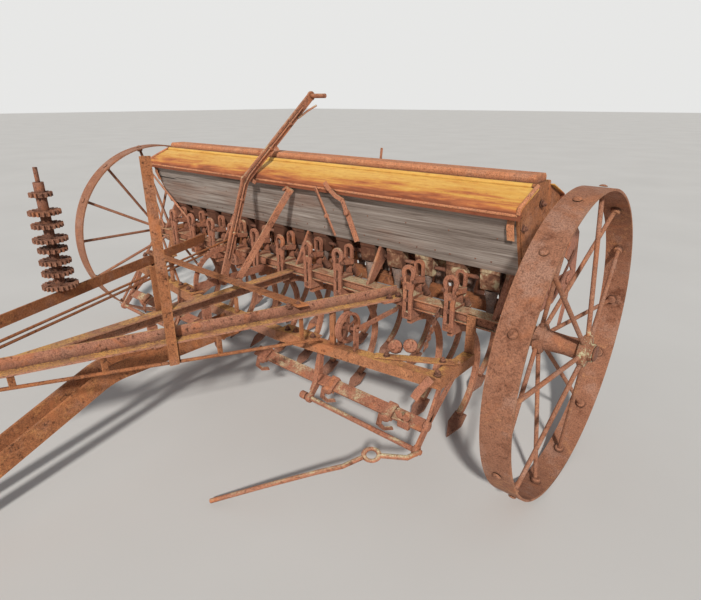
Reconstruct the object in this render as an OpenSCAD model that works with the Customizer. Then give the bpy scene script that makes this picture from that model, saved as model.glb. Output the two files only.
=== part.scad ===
// Towed seed drill on steel wheels, parked on its two wheels and its drawbar.
// X runs along the width, Y runs back from the hitch, Z is up, and all sizes are millimetres.
// Inside every piece Y is counted from the wheel axle, and from_axle() moves it to the origin.

/* [Wheels] */
// Radius of the steel rim
wheel_r = 620; // [600:5:660]
// Width of the flat tread
tread_w = 108; // [90:2:130]
// Thickness of the rolled rim
rim_t = 9; // [6:1:14]
// Distance from the middle of the machine to the middle of a tread
wheel_x = 1497; // [1480:1:1560]
// Number of round spokes
spoke_count = 14; // [10:2:18]
// Radius of a spoke
spoke_r = 9; // [7:0.5:12]
// How far the near wheel has turned where it stands
near_turn = 14.6; // [0:0.1:25]
// How far the far wheel has turned where it stands
far_turn = 9.8; // [0:0.1:25]
// Radius of the hub barrel
hub_r = 43; // [38:1:48]
// Hub length outboard of the tread's middle
hub_out = 104; // [98:1:130]
// Hub length inboard of the tread's middle
hub_in = 166; // [150:1:175]
// Radius of the hub flanges that take the spokes
hub_flange_r = 62; // [56:1:75]
// Radius of the axle
axle_r = 19; // [16:0.5:22]

/* [Frame] */
// Top of the cross bars above the axle's middle
bar_rise = 80; // [78:1:90]
// Depth of a cross bar
bar_h = 50; // [44:1:54]
// Width of a cross bar
bar_w = 60; // [50:1:66]
// Wall of the rolled steel sections
steel_t = 7; // [5:0.5:9]
// Distance of the front cross bar's middle ahead of the axle
front_bar_y = 105; // [100:1:115]
// Distance of the middle cross bar's middle behind the axle
mid_bar_y = 78; // [74:1:90]
// Distance of the rear cross bar's middle behind the axle
rear_bar_y = 310; // [290:1:330]
// Distance from the middle of the machine to the outer face of a side channel
side_x = 1282; // [1276:1:1290]
// Flange width of a side channel
side_w = 38; // [32:1:44]

/* [Poles] */
// Distance of a pole from the middle at the front cross bar
pole_spread = 779; // [760:1:785]
// Distance ahead of the axle where the poles end
pole_reach = 1900; // [1800:10:1950]
// Distance of a pole from the middle at its front end
pole_front_x = 72; // [70:1:80]
// Depth of a pole's upright leg
pole_h = 52; // [46:1:60]
// Width of a pole's level leg
pole_w = 52; // [46:1:56]
// Height of the poles' top over the cross bars' top
pole_rise = 40; // [30:1:45]
// Distance of the middle beam from the machine's middle
centre_x = 45; // [42:1:48]
// Width of the middle beam
centre_w = 50; // [40:1:52]
// Depth of the middle beam
centre_h = 60; // [50:1:64]
// Top of the middle beam below the top of the poles
centre_sink = 75; // [64:1:80]

/* [Drawbar] */
// Distance of the hitch hole's centre ahead of the axle
hitch_y = 2360; // [2330:10:2390]
// Radius of the hitch pin hole
hitch_hole_r = 13; // [10:0.5:16]
// Depth of a drawbar flat
draw_h = 80; // [70:1:90]
// Thickness of a drawbar flat
draw_t = 12; // [8:1:16]
// Clear width between the two drawbar flats
draw_gap = 88; // [80:1:100]
// Angle of the drawbar's straight fall
draw_angle = 23; // [21:0.5:26]
// Radius of the drawbar's two bends
draw_bend_r = 300; // [250:10:350]
// Thickness of the hitch block
hitch_t = 40; // [30:1:50]

/* [Front frames] */
// Top of the front frames above the ground
low_top = 525; // [515:1:535]
// Leg of the front frames' angle iron
low_w = 50; // [44:1:56]
// Distance from the middle to a front frame's inner end
low_in_x = 343; // [330:1:350]
// Distance from the middle to a front frame's outer corner
low_out_x = 1174; // [1160:1:1180]
// Distance of the inner end ahead of the axle
low_in_y = 524; // [515:1:530]
// Distance of the outer corner ahead of the axle
low_out_y = 410; // [400:1:420]

/* [Hopper] */
// Length of the hopper between its ends
hopper_l = 2560; // [2540:10:2570]
// Distance of the hopper's middle behind the axle
hopper_y = 70; // [68:1:76]
// Underside of the hopper floor above the cross bars' top
hopper_rise = 170; // [165:1:180]
// Height of the hopper boards
board_h = 280; // [260:5:300]
// Half the outer depth of the hopper at its floor
hopper_foot = 100; // [98:1:106]
// Half the outer depth of the hopper at its top edge
hopper_top = 210; // [200:1:216]
// Thickness of the hopper boards
board_t = 22; // [18:1:26]
// Thickness of the wooden hopper floor
floor_t = 20; // [16:1:26]
// Thickness of the middle board
divider_t = 14; // [10:1:20]
// Thickness of an iron hopper end
end_t = 12; // [8:1:16]
// Thickness of the sheet of the lids
lid_t = 4; // [3:0.5:5]
// How far a lid stands out past its end plate
lid_over = 16; // [10:1:20]
// Slope of the lids
lid_angle = 22; // [18:1:24]
// Distance between the two hinge rods
hinge_gap = 140; // [130:1:150]
// Radius of a hinge rod
hinge_r = 6; // [5:0.5:7]
// Height of the hinge rods over the boards' top edge
hinge_rise = 74; // [70:1:80]

/* [Seed feed] */
// Spacing of the feed cups
cup_pitch = 165; // [163:1:167]
// Number of feed cups in a row
cup_count = 15; // [9:2:15]
// Width of a feed cup
cup_w = 90; // [70:2:96]
// Height of a feed cup
cup_h = 96; // [84:1:98]
// Radius of the feed shafts
feed_r = 10; // [8:0.5:12]

/* [Tines] */
// Spacing of the tines in a row
tine_pitch = 212.5; // [210:0.5:214]
// Distance from the middle to the first tine of the front row
tine_first = 1047; // [1042:1:1050]
// Number of tine places in the front row
tine_count = 11; // [7:1:11]
// Radius of the tine's bow
tine_bow_r = 262; // [250:1:265]
// Width of the tine's bar
tine_w = 24; // [20:1:28]
// Depth of the tine's bar
tine_d = 28; // [22:1:32]
// Radius of the spring coil, to the middle of the wire
spring_r = 15; // [13:0.5:16]
// Radius of the spring wire
wire_r = 4; // [3:0.5:4.5]
// Turns of a tine spring
spring_turns = 6; // [4:1:7]

/* [Lever] */
// Distance from the middle to the lever's inner face
lever_x = 160; // [156:1:170]
// Thickness of the lever
lever_t = 12; // [10:1:14]
// Width of the lever
lever_w = 44; // [36:1:48]
// Radius of the lever's pivot pin
pivot_r = 12; // [10:0.5:14]
// Middle radius of the notched quadrant
quadrant_r = 162; // [150:1:170]

/* [Change wheels] */
// Radius of the upright spindle
spindle_r = 9; // [7:0.5:11]
// Thickness of a change wheel's rim
gear_t = 18; // [12:1:20]
// Depth of a tooth
tooth_h = 10; // [6:0.5:12]

/* [Hidden] */

rust = "#8a4a32";
bright_rust = "#b5643c";
dark_rust = "#6a3a2a";
old_yellow = "#d7a12c";
grey_wood = "#8d867c";
cream = "#c9c08c";

run_gap = 0.05;
fit_gap = 0.3;
cut = 1;
nose_r = draw_gap / 2;
axle_y = (hitch_y + nose_r - wheel_r) / 2;
axle_z = wheel_r;
bar_top = axle_z + bar_rise;
bar_low = bar_top - bar_h;
front_face = -front_bar_y - bar_w / 2;
side_in = side_x - side_w;
pole_top = bar_top + pole_rise;
pole_low = pole_top - pole_h;
pole_slope = (pole_spread - pole_front_x) / (pole_reach + front_face);

module from_axle() {
  translate([0, axle_y, 0]) children();
}

// A plate that stands across the machine's width: its outline is drawn in Y and Z
module side_plate(x, t) {
  translate([x, 0, 0]) rotate([90, 0, 90]) linear_extrude(t) children();
}

// A plate that faces the hitch: its outline is drawn in X and Z, and its front face is at y
module front_plate(y, t) {
  translate([0, y + t, 0]) rotate([90, 0, 0]) linear_extrude(t) children();
}

// A round rod from one point to another
module rod(a, b, r) {
  d = b - a;
  translate(a)
    rotate([0, acos(d[2] / norm(d)), atan2(d[1], d[0])])
      cylinder(r = r, h = norm(d), $fn = 24);
}

// An angle iron between two plan points: a flat top and a front leg
module angle_iron(a, b, top, leg) {
  d = b - a;
  translate([a[0], a[1], 0]) rotate([0, 0, atan2(d[1], d[0])]) {
    translate([0, 0, top - steel_t]) cube([norm(d), leg, steel_t]);
    translate([0, 0, top - leg]) cube([norm(d), steel_t, leg]);
  }
}

function arc(c, r, a0, a1, steps) =
  [for (i = [0:steps]) let (a = a0 + (a1 - a0) * i / steps) [c[0] + r * cos(a), c[1] + r * sin(a)]];
function reversed(list) = [for (i = [len(list) - 1:-1:0]) list[i]];

// Wheels

flange_w = 26;
spoke_out = hub_out - 34;
spoke_in = hub_in - 62;

module hub_solid() {
  rotate_extrude($fn = 48)
    polygon([
      [0, -hub_in], [hub_r + 5, -hub_in], [hub_r + 5, -hub_in + 22], [hub_r, -hub_in + 26],
      [hub_r, -spoke_in - flange_w / 2 - 8], [hub_flange_r, -spoke_in - flange_w / 2],
      [hub_flange_r, -spoke_in + flange_w / 2], [hub_r, -spoke_in + flange_w / 2 + 8],
      [hub_r - 4, 0], [hub_r, spoke_out - flange_w / 2 - 8],
      [hub_flange_r, spoke_out - flange_w / 2], [hub_flange_r, spoke_out + flange_w / 2],
      [hub_r - 6, spoke_out + flange_w / 2 + 6], [hub_r - 6, hub_out], [0, hub_out]
    ]);
}

module wheel() {
  rotate([0, 90, 0]) {
    difference() {
      union() {
        rotate_extrude($fn = 96)
          translate([wheel_r - rim_t, -tread_w / 2]) square([rim_t, tread_w]);
        hub_solid();
        // Spokes run by turns to the outer and the inner hub flange
        for (i = [0:spoke_count - 1])
          rotate([0, 0, i * 360 / spoke_count])
            rod(
              [hub_flange_r - 10, 0, i % 2 == 0 ? spoke_out : -spoke_in],
              [wheel_r - rim_t / 2, 0, 0],
              spoke_r
            );
      }
      translate([0, 0, -hub_in - cut])
        cylinder(r = axle_r + run_gap, h = hub_in + hub_out + 2 * cut, $fn = 48);
    }
  }
}

module wheel_near() {
  color(rust) from_axle() translate([wheel_x, 0, axle_z]) rotate([near_turn, 0, 0]) wheel();
}

module wheel_far() {
  color(rust) from_axle() mirror([1, 0, 0]) translate([wheel_x, 0, axle_z]) rotate([far_turn, 0, 0]) wheel();
}

collar_t = 14;
collar_r = 33;
washer_t = 6;
axle_reach = wheel_x + hub_out + 2;

module axle() {
  color(dark_rust) from_axle() translate([0, 0, axle_z]) rotate([0, 90, 0]) {
    translate([0, 0, -axle_reach]) cylinder(r = axle_r, h = 2 * axle_reach, $fn = 48);
    for (s = [-1, 1]) {
      // A collar inboard of each hub and a washer outboard of it
      translate([0, 0, s * (wheel_x - hub_in - 2 - collar_t / 2) - collar_t / 2])
        cylinder(r = collar_r, h = collar_t, $fn = 48);
      translate([0, 0, s * (axle_reach + washer_t / 2) - washer_t / 2])
        cylinder(r = hub_r - 12, h = washer_t, $fn = 48);
    }
  }
}

bracket_l = 110;
bracket_low = 16;

module axle_brackets() {
  color(rust) from_axle()
    for (s = [-1, 1]) mirror([s < 0 ? 1 : 0, 0, 0])
      difference() {
        translate([side_in, -bracket_l / 2, axle_z - axle_r - bracket_low])
          cube([side_w, bracket_l, bar_low - axle_z + axle_r + bracket_low]);
        translate([side_in - cut, 0, axle_z]) rotate([0, 90, 0])
          cylinder(r = axle_r + run_gap, h = side_w + 2 * cut, $fn = 48);
      }
}

// Frame

module side_channels() {
  color(rust) from_axle()
    for (s = [-1, 1]) mirror([s < 0 ? 1 : 0, 0, 0])
      difference() {
        translate([side_in, front_face, bar_low])
          cube([side_w, rear_bar_y + bar_w / 2 - front_face, bar_h]);
        translate([side_in + steel_t, front_face - cut, bar_low + steel_t])
          cube([side_w, rear_bar_y + bar_w / 2 - front_face + 2 * cut, bar_h - 2 * steel_t]);
      }
}

// A cross bar is a channel with its open side down
module cross_bar(y) {
  difference() {
    translate([-side_in, y - bar_w / 2, bar_low]) cube([2 * side_in, bar_w, bar_h]);
    translate([-side_in - cut, y - bar_w / 2 + steel_t, bar_low - cut])
      cube([2 * side_in + 2 * cut, bar_w - 2 * steel_t, bar_h - steel_t + cut]);
  }
}

module front_cross_bar() {
  color(bright_rust) from_axle() cross_bar(-front_bar_y);
}

module mid_cross_bar() {
  color(bright_rust) from_axle() cross_bar(mid_bar_y);
}

module rear_cross_bar() {
  color(rust) from_axle() cross_bar(rear_bar_y);
}

// Poles

function pole_x(y) = pole_spread + (y - front_face) * pole_slope;

module pole_strip(in_off, out_off, z0, h, y0 = -pole_reach, y1 = front_face) {
  translate([0, 0, z0]) linear_extrude(h)
    polygon([
      [pole_x(y0) + in_off, y0], [pole_x(y0) + out_off, y0],
      [pole_x(y1) + out_off, y1], [pole_x(y1) + in_off, y1]
    ]);
}

// A pole is an angle iron: its upright leg is inside, and its level leg lies outwards at the bottom
module pole() {
  pole_strip(-pole_w / 2, -pole_w / 2 + steel_t, pole_low, pole_h);
  pole_strip(-pole_w / 2, pole_w / 2, pole_low, steel_t);
}

module pole_near() {
  color(old_yellow) from_axle() pole();
}

module pole_far() {
  color(rust) from_axle() mirror([1, 0, 0]) pole();
}

centre_top = pole_top - centre_sink;
centre_low = centre_top - centre_h;

module pole_centre() {
  color(old_yellow) from_axle()
    difference() {
      translate([centre_x - centre_w / 2, -pole_reach, centre_low])
        cube([centre_w, pole_reach + front_face, centre_h]);
      translate([centre_x - centre_w / 2 + steel_t, -pole_reach - cut, centre_low - cut])
        cube([centre_w, pole_reach + front_face + 2 * cut, centre_h - steel_t + cut]);
    }
}

head_l = 170;
head_t = 12;

// The head ties the poles and the middle beam: a top plate and a block between the poles
module pole_head() {
  y0 = -pole_reach;
  y1 = -pole_reach + head_l;
  inner = -pole_w / 2;
  color(rust) from_axle() {
    translate([0, 0, pole_top]) linear_extrude(head_t)
      polygon([
        [-pole_x(y0) + inner, y0], [pole_x(y0) - inner, y0],
        [pole_x(y1) - inner, y1], [-pole_x(y1) + inner, y1]
      ]);
    translate([0, 0, centre_top]) linear_extrude(centre_sink + head_t)
      polygon([
        [-pole_x(y0) - inner, y0], [pole_x(y0) + inner, y0],
        [pole_x(y1) + inner, y1], [-pole_x(y1) - inner, y1]
      ]);
  }
}

cleat_l = 100;
cleat_t = 10;
cleat_inset = 5;

// Cleats carry the poles' rear ends on the front cross bar
module pole_cleats() {
  y0 = front_face - cleat_l;
  web_low = bar_low + cleat_inset;
  color(rust) from_axle()
    for (s = [-1, 1]) mirror([s < 0 ? 1 : 0, 0, 0]) {
      pole_strip(-pole_w / 2, pole_w / 2, pole_low - cleat_t, cleat_t, y0, front_face);
      pole_strip(-pole_w / 2, pole_w / 2, web_low, pole_low - web_low - cleat_t, front_face - cleat_t, front_face);
    }
}

brace_y = 620;
brace_w = 44;
brace_t = 8;

// A flat across both poles
module pole_brace() {
  y0 = -brace_y;
  y1 = -brace_y + brace_w;
  color(rust) from_axle() translate([0, 0, pole_top]) linear_extrude(brace_t)
    polygon([
      [-pole_x(y0) - pole_w / 2, y0], [pole_x(y0) + pole_w / 2, y0],
      [pole_x(y1) + pole_w / 2, y1], [-pole_x(y1) - pole_w / 2, y1]
    ]);
}

// Drawbar

draw_level = low_top - 60;
draw_tip_y = -hitch_y + 60;
draw_foot_l = 60;

// The drawbar's middle line as [y, z, slope]: level, down, and level again on the ground
function draw_path() =
  let (
    low = draw_h / 2,
    r = draw_bend_r,
    y_foot = draw_tip_y + draw_foot_l,
    fall = draw_level - low - 2 * r * (1 - cos(draw_angle)),
    y_knee = y_foot + 2 * r * sin(draw_angle) + fall / tan(draw_angle)
  )
  concat(
    [[-low_in_y, draw_level, 0]],
    [for (i = [0:6]) let (a = draw_angle * i / 6) [y_knee - r * sin(a), draw_level - r * (1 - cos(a)), a]],
    [for (i = [0:6]) let (a = draw_angle * (1 - i / 6)) [y_foot + r * sin(a), low + r * (1 - cos(a)), a]],
    [[draw_tip_y, low, 0]]
  );

function draw_edge(side) =
  [for (p = draw_path()) [p[0] - side * sin(p[2]) * draw_h / 2, p[1] + side * cos(p[2]) * draw_h / 2]];

module drawbar_flats() {
  color(rust) from_axle()
    for (x = [-draw_gap / 2 - draw_t, draw_gap / 2])
      side_plate(x, draw_t) polygon(concat(draw_edge(1), reversed(draw_edge(-1))));
}

hitch_block_l = 160;

module hitch_block() {
  color(dark_rust) from_axle()
    translate([0, -hitch_y, (draw_h - hitch_t) / 2])
      difference() {
        union() {
          cylinder(r = nose_r, h = hitch_t, $fn = 64);
          translate([-nose_r, 0, 0]) cube([2 * nose_r, hitch_block_l, hitch_t]);
        }
        translate([0, 0, -cut]) cylinder(r = hitch_hole_r, h = hitch_t + 2 * cut, $fn = 48);
      }
}

hanger_w = 40;
hanger_t = 12;

hanger_y = [-700, -980];
hanger_over = 6;
hanger_post = 20;

// Hangers carry the drawbar's level part under the middle beam
module drawbar_hangers() {
  top = draw_level + draw_h / 2;
  reach = draw_gap / 2 + draw_t + hanger_over;
  color(rust) from_axle()
    for (y = hanger_y) {
      translate([-reach, y, top]) cube([2 * reach, hanger_w, hanger_t]);
      translate([centre_x - centre_w / 2, y, top]) cube([hanger_post, hanger_w, centre_low - top]);
    }
}

// Front frames

leg_x = low_out_x - low_w / 2;
frame_slope = (low_in_y - low_out_y) / (low_out_x - low_in_x);

// The front edge of a front frame, and a line at a distance behind it
function frame_y(x, d = 0) = -low_in_y + (x - low_in_x) * frame_slope + d * sqrt(1 + frame_slope * frame_slope);

// A strip of a width along the front and back to the front cross bar, seen from above
module frame_plan(w) {
  polygon([
    [low_in_x, frame_y(low_in_x)], [low_out_x, frame_y(low_out_x)],
    [low_out_x, front_face], [low_out_x - w, front_face],
    [low_out_x - w, frame_y(low_out_x - w, w)], [low_in_x, frame_y(low_in_x, w)]
  ]);
}

// Angle iron with its flat leg on top, bent round the outer corner
module front_frame() {
  translate([0, 0, low_top - steel_t]) linear_extrude(steel_t) frame_plan(low_w);
  translate([0, 0, low_top - low_w]) linear_extrude(low_w - steel_t) frame_plan(steel_t);
}

module front_frame_near() {
  color(bright_rust) from_axle() front_frame();
}

module front_frame_far() {
  color(rust) from_axle() mirror([1, 0, 0]) front_frame();
}

module front_tie() {
  color(rust) from_axle()
    angle_iron([-low_in_x, -low_in_y], [low_in_x, -low_in_y], low_top, low_w);
}

strap_w = 40;
strap_t = 12;
strap_in = 14;
strap_half = 14;

// Straps that hang the front frames from the cross bar, the poles and the middle beam
module frame_straps() {
  strap_y = -low_in_y + low_w + strap_in;
  color(rust) from_axle() {
    for (s = [-1, 1]) mirror([s < 0 ? 1 : 0, 0, 0]) {
      translate([leg_x - strap_w / 2, front_face - strap_t, low_top])
        cube([strap_w, strap_t, bar_top - low_top]);
      translate([pole_x(strap_y) - strap_half, strap_y, low_top])
        cube([2 * strap_half, strap_t, pole_low - low_top]);
    }
    translate([centre_x - centre_w / 2, -low_in_y + strap_in, low_top])
      cube([hanger_post, strap_t, centre_low - low_top]);
  }
}

// Hopper

hopper_low = bar_top + hopper_rise;
hopper_high = hopper_low + board_h;
board_lean = (hopper_top - hopper_foot) / board_h;
hinge_z = hopper_high + hinge_rise;

function board_out(z) = hopper_foot + (z - hopper_low) * board_lean;

module board(s) {
  side_plate(-hopper_l / 2, hopper_l)
    polygon([
      [hopper_y + s * hopper_foot, hopper_low],
      [hopper_y + s * hopper_top, hopper_high],
      [hopper_y + s * (hopper_top - board_t), hopper_high],
      [hopper_y + s * (hopper_foot - board_t), hopper_low]
    ]);
}

module hopper_front_board() {
  color(grey_wood) from_axle() board(-1);
}

module hopper_rear_board() {
  color(grey_wood) from_axle() board(1);
}

module hopper_floor() {
  low = hopper_foot - board_t;
  high = board_out(hopper_low + floor_t) - board_t;
  color(grey_wood) from_axle()
    side_plate(-hopper_l / 2, hopper_l)
      polygon([
        [hopper_y - low, hopper_low], [hopper_y + low, hopper_low],
        [hopper_y + high, hopper_low + floor_t], [hopper_y - high, hopper_low + floor_t]
      ]);
}

cap_low = hinge_z - 30;

module hopper_divider() {
  color(grey_wood) from_axle()
    translate([-hopper_l / 2, hopper_y - divider_t / 2, hopper_low + floor_t])
      cube([hopper_l, divider_t, cap_low - hopper_low - floor_t]);
}

knuckle_r = hinge_r + 5;
knuckle_gap = 1;
lid_gap = 1;

// Height of a lid's underside above the boards, at a distance from the hopper's middle
function lid_under(d) = hinge_z - lid_t / cos(lid_angle) - (d - hinge_gap / 2) * tan(lid_angle);

// An end plate fills the gable under the lids, with an eye round each hinge rod
module hopper_end() {
  side = [
    [hopper_foot, hopper_low],
    [hopper_top, hopper_high],
    [hopper_top, lid_under(hopper_top) - lid_gap],
    [hinge_gap / 2, lid_under(hinge_gap / 2) - lid_gap]
  ];
  translate([hopper_y, 0])
    difference() {
      union() {
        polygon(concat(side, reversed([for (p = side) [-p[0], p[1]]])));
        for (s = [-1, 1]) translate([s * hinge_gap / 2, hinge_z]) circle(r = knuckle_r, $fn = 48);
        translate([-hinge_gap / 2, hinge_z - knuckle_r]) square([hinge_gap, 2 * knuckle_r - 2]);
      }
      for (s = [-1, 1]) translate([s * hinge_gap / 2, hinge_z]) circle(r = hinge_r + run_gap, $fn = 48);
    }
}

module hopper_ends() {
  color(rust) from_axle()
    for (x = [-hopper_l / 2 - end_t, hopper_l / 2]) side_plate(x, end_t) hopper_end();
}

cap_rise = 40;
cap_bevel = 12;

// Ridge cap over the divider, with the two hinge rods
module ridge_cap() {
  half = hinge_gap / 2 - knuckle_r - 3;
  top = hinge_z + cap_rise;
  color(bright_rust) from_axle() {
    side_plate(-hopper_l / 2, hopper_l)
      polygon([
        [hopper_y - half, cap_low], [hopper_y + half, cap_low], [hopper_y + half, top - cap_bevel],
        [hopper_y + half - cap_bevel, top], [hopper_y - half + cap_bevel, top], [hopper_y - half, top - cap_bevel]
      ]);
    for (s = [-1, 1])
      translate([-hopper_l / 2 - end_t, hopper_y + s * hinge_gap / 2, hinge_z]) rotate([0, 90, 0])
        cylinder(r = hinge_r, h = hopper_l + 2 * end_t, $fn = 32);
  }
}

lip_r = 26;
lip_h = 26;
lip_over = 14;
knuckle_end_gap = 2;
knuckle_tail = 30;

function lid_top(d) = hinge_z - (d - hinge_gap / 2) * tan(lid_angle);

// Half of the gabled cover: a rolled knuckle, a sloping sheet and a lip turned down over the board
module lid() {
  d0 = hinge_gap / 2;
  d1 = hopper_top + lip_over;
  turn = 90 - lid_angle;
  bend = [d1 - lip_r, lid_top(d1 - lip_r) - lip_r / cos(lid_angle)];
  outer = concat(
    [[d0, lid_top(d0)]],
    arc(bend, lip_r, turn, 0, 6),
    [[d1, bend[1] - lip_h]]
  );
  inner = concat(
    [[d1 - lid_t, bend[1] - lip_h]],
    arc(bend, lip_r - lid_t, 0, turn, 6),
    [[d0, lid_under(d0)]]
  );
  side_plate(-hopper_l / 2 - end_t - lid_over, hopper_l + 2 * (end_t + lid_over))
    difference() {
      polygon(concat(outer, inner));
      translate([d0, hinge_z]) circle(r = knuckle_r + knuckle_gap, $fn = 48);
    }
  side_plate(-hopper_l / 2 + knuckle_end_gap, hopper_l - 2 * knuckle_end_gap)
    difference() {
      union() {
        translate([d0, hinge_z]) circle(r = knuckle_r, $fn = 48);
        polygon([
          [d0, lid_top(d0)], [d0 + knuckle_tail, lid_top(d0 + knuckle_tail)],
          [d0 + knuckle_tail, lid_under(d0 + knuckle_tail)], [d0, lid_under(d0)]
        ]);
      }
      translate([d0, hinge_z]) circle(r = hinge_r + run_gap, $fn = 48);
    }
}

module front_lid() {
  color(old_yellow) from_axle() translate([0, hopper_y, 0]) mirror([0, 1, 0]) lid();
}

module rear_lid() {
  color(old_yellow) from_axle() translate([0, hopper_y, 0]) lid();
}

stand_t = 14;
stand_x = [-7.5 * cup_pitch, -3.5 * cup_pitch, 0.5 * cup_pitch, 3.5 * cup_pitch, 7.5 * cup_pitch];
cup_y = hopper_foot - 34;
feed_z = hopper_low - 55;

// Cast stands between the cross bars and the hopper floor
module hopper_stands() {
  y0 = front_face + 4;
  y1 = mid_bar_y + bar_w / 2 - 4;
  color(rust) from_axle()
    for (x = stand_x)
      side_plate(x - stand_t / 2, stand_t)
        difference() {
          polygon([
            [y0, bar_top], [y0 + 40, bar_top], [hopper_y - hopper_foot + 40, hopper_low - 70],
            [mid_bar_y - 20, hopper_low - 70], [mid_bar_y - 20, bar_top],
            [y1, bar_top], [hopper_y + hopper_foot, hopper_low], [hopper_y - hopper_foot, hopper_low]
          ]);
          for (s = [-1, 1])
            translate([hopper_y + s * cup_y, feed_z]) circle(r = feed_r + fit_gap, $fn = 32);
        }
}

// Seed feed

module feed_cup() {
  difference() {
    side_plate(-cup_w / 2, cup_w)
      difference() {
        union() {
          polygon([
            [-32, 0], [32, 0], [32, -16], [26, -22], [26, -58],
            [12, -cup_h], [-16, -cup_h], [-28, -58], [-28, -22], [-32, -16]
          ]);
        }
        translate([0, feed_z - hopper_low]) circle(r = feed_r + fit_gap, $fn = 32);
      }
    // The cup narrows to a spout below its wheel housing
    for (s = [-1, 1])
      translate([s * cup_w / 2, -50, -cup_h - cut]) rotate([0, s * 24, 0])
        translate([s > 0 ? 0 : -60, 0, 0]) cube([60, 100, 60]);
  }
}

module feed_cups() {
  color(cream) from_axle()
    for (i = [0:cup_count - 1], s = [-1, 1])
      translate([(i - (cup_count - 1) / 2) * cup_pitch, hopper_y + s * cup_y, hopper_low])
        mirror([0, s > 0 ? 1 : 0, 0]) feed_cup();
}

module feed_shafts() {
  color(dark_rust) from_axle()
    for (s = [-1, 1])
      translate([-side_x, hopper_y + s * cup_y, feed_z]) rotate([0, 90, 0])
        cylinder(r = feed_r, h = 2 * side_x, $fn = 32);
}

// Tines

front_row = [for (i = [0:tine_count - 1]) if (i != 2) tine_first - i * tine_pitch];
rear_row = [for (i = [0:tine_count - 2]) tine_first - (i + 0.5) * tine_pitch];
clamp_w = 44;
clamp_t = 12;
clamp_low = 50;
yoke_t = 14;
// The spring's rod leaves the yoke at this height over the cross bar, and falls at this angle
rod_z = 62;
rod_fall = 51;
rod_l = 136;
spring_from = 24;
spring_l = 84;
disc_t = 5;

module along_spring() {
  translate([0, bar_w / 2 + clamp_t, rod_z]) rotate([-90 - rod_fall, 0, 0]) children();
}

module tine_bracket() {
  half = bar_w / 2;
  low = -bar_h - clamp_low;
  // Clamp round the cross bar, with the tine's seat below it
  translate([-clamp_w / 2, -half - clamp_t, 0]) cube([clamp_w, bar_w + 2 * clamp_t, clamp_t]);
  translate([-clamp_w / 2, -half - clamp_t, low]) cube([clamp_w, clamp_t, clamp_low + bar_h + clamp_t]);
  translate([-clamp_w / 2, half, low]) cube([clamp_w, clamp_t, clamp_low + bar_h + clamp_t]);
  translate([-clamp_w / 2, -half - clamp_t, low]) cube([clamp_w, bar_w + 2 * clamp_t, clamp_low]);
  // Forged yoke over the clamp
  front_plate(half - 2, yoke_t)
    difference() {
      union() {
        translate([0, 96]) circle(r = 26, $fn = 48);
        translate([0, 136]) circle(r = 26, $fn = 48);
        translate([-26, 96]) square([52, 40]);
        translate([-14, 0]) square([28, 80]);
      }
      translate([0, 98]) circle(r = 14, $fn = 48);
      translate([0, 134]) circle(r = 14, $fn = 48);
      translate([-14, 98]) square([28, 36]);
    }
  // Rod through the spring, its two discs, and the arm that holds its foot
  along_spring() {
    translate([0, 0, -6]) cylinder(r = 6, h = rod_l + 6, $fn = 24);
    for (z = [spring_from - disc_t, spring_from + spring_l])
      translate([0, 0, z]) cylinder(r = spring_r + wire_r, h = disc_t, $fn = 32);
  }
  translate([-8, half, rod_z - rod_l * sin(rod_fall) - 6])
    cube([16, clamp_t + rod_l * cos(rod_fall) + 6, 12]);
}

module tine_brackets() {
  color(rust) from_axle() {
    for (x = front_row) translate([x, -front_bar_y, bar_top]) tine_bracket();
    for (x = rear_row) translate([x, rear_bar_y, bar_top]) tine_bracket();
  }
}

// One coil spring along Z, swept as a tube of five sides
module coil_spring(length) {
  sides = 5;
  per_turn = 8;
  rings = spring_turns * per_turn;
  rise = (length - 2 * wire_r) / rings;
  points = [
    for (i = [0:rings], j = [0:sides - 1])
      let (
        a = i * 360 / per_turn,
        b = j * 360 / sides,
        r = spring_r + wire_r * cos(b)
      )
      [r * cos(a), r * sin(a), wire_r + i * rise + wire_r * sin(b)]
  ];
  skin = [
    for (i = [0:rings - 1], j = [0:sides - 1])
      [i * sides + j, i * sides + (j + 1) % sides, (i + 1) * sides + (j + 1) % sides, (i + 1) * sides + j]
  ];
  start_cap = [[for (j = [sides - 1:-1:0]) j]];
  end_cap = [[for (j = [0:sides - 1]) rings * sides + j]];
  polyhedron(points, concat(skin, start_cap, end_cap), convexity = 8);
}

module tine_spring() {
  along_spring() translate([0, 0, spring_from]) coil_spring(spring_l);
}

module tine_springs() {
  color(dark_rust) from_axle() {
    for (x = front_row) translate([x, -front_bar_y, bar_top]) tine_spring();
    for (x = rear_row) translate([x, rear_bar_y, bar_top]) tine_spring();
  }
}

tine_top = -bar_h - clamp_low;
bow_end = 62;

bow_steps = 24;

// A bowed tine: a straight seat under the clamp and a bow that comes round to the point
module tine() {
  centre = [0, tine_top - tine_d / 2 - tine_bow_r];
  side_plate(-tine_w / 2, tine_w)
    polygon(concat(
      [[-bar_w / 2, tine_top - tine_d], [-bar_w / 2, tine_top]],
      arc(centre, tine_bow_r + tine_d / 2, 90, -bow_end, bow_steps),
      arc(centre, tine_bow_r - tine_d / 2, -bow_end, 90, bow_steps)
    ));
}

module tines() {
  color(rust) from_axle() {
    for (x = front_row) translate([x, -front_bar_y, bar_top]) tine();
    for (x = rear_row) translate([x, rear_bar_y, bar_top]) tine();
  }
}

point_l = 130;
point_t = 8;

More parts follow.
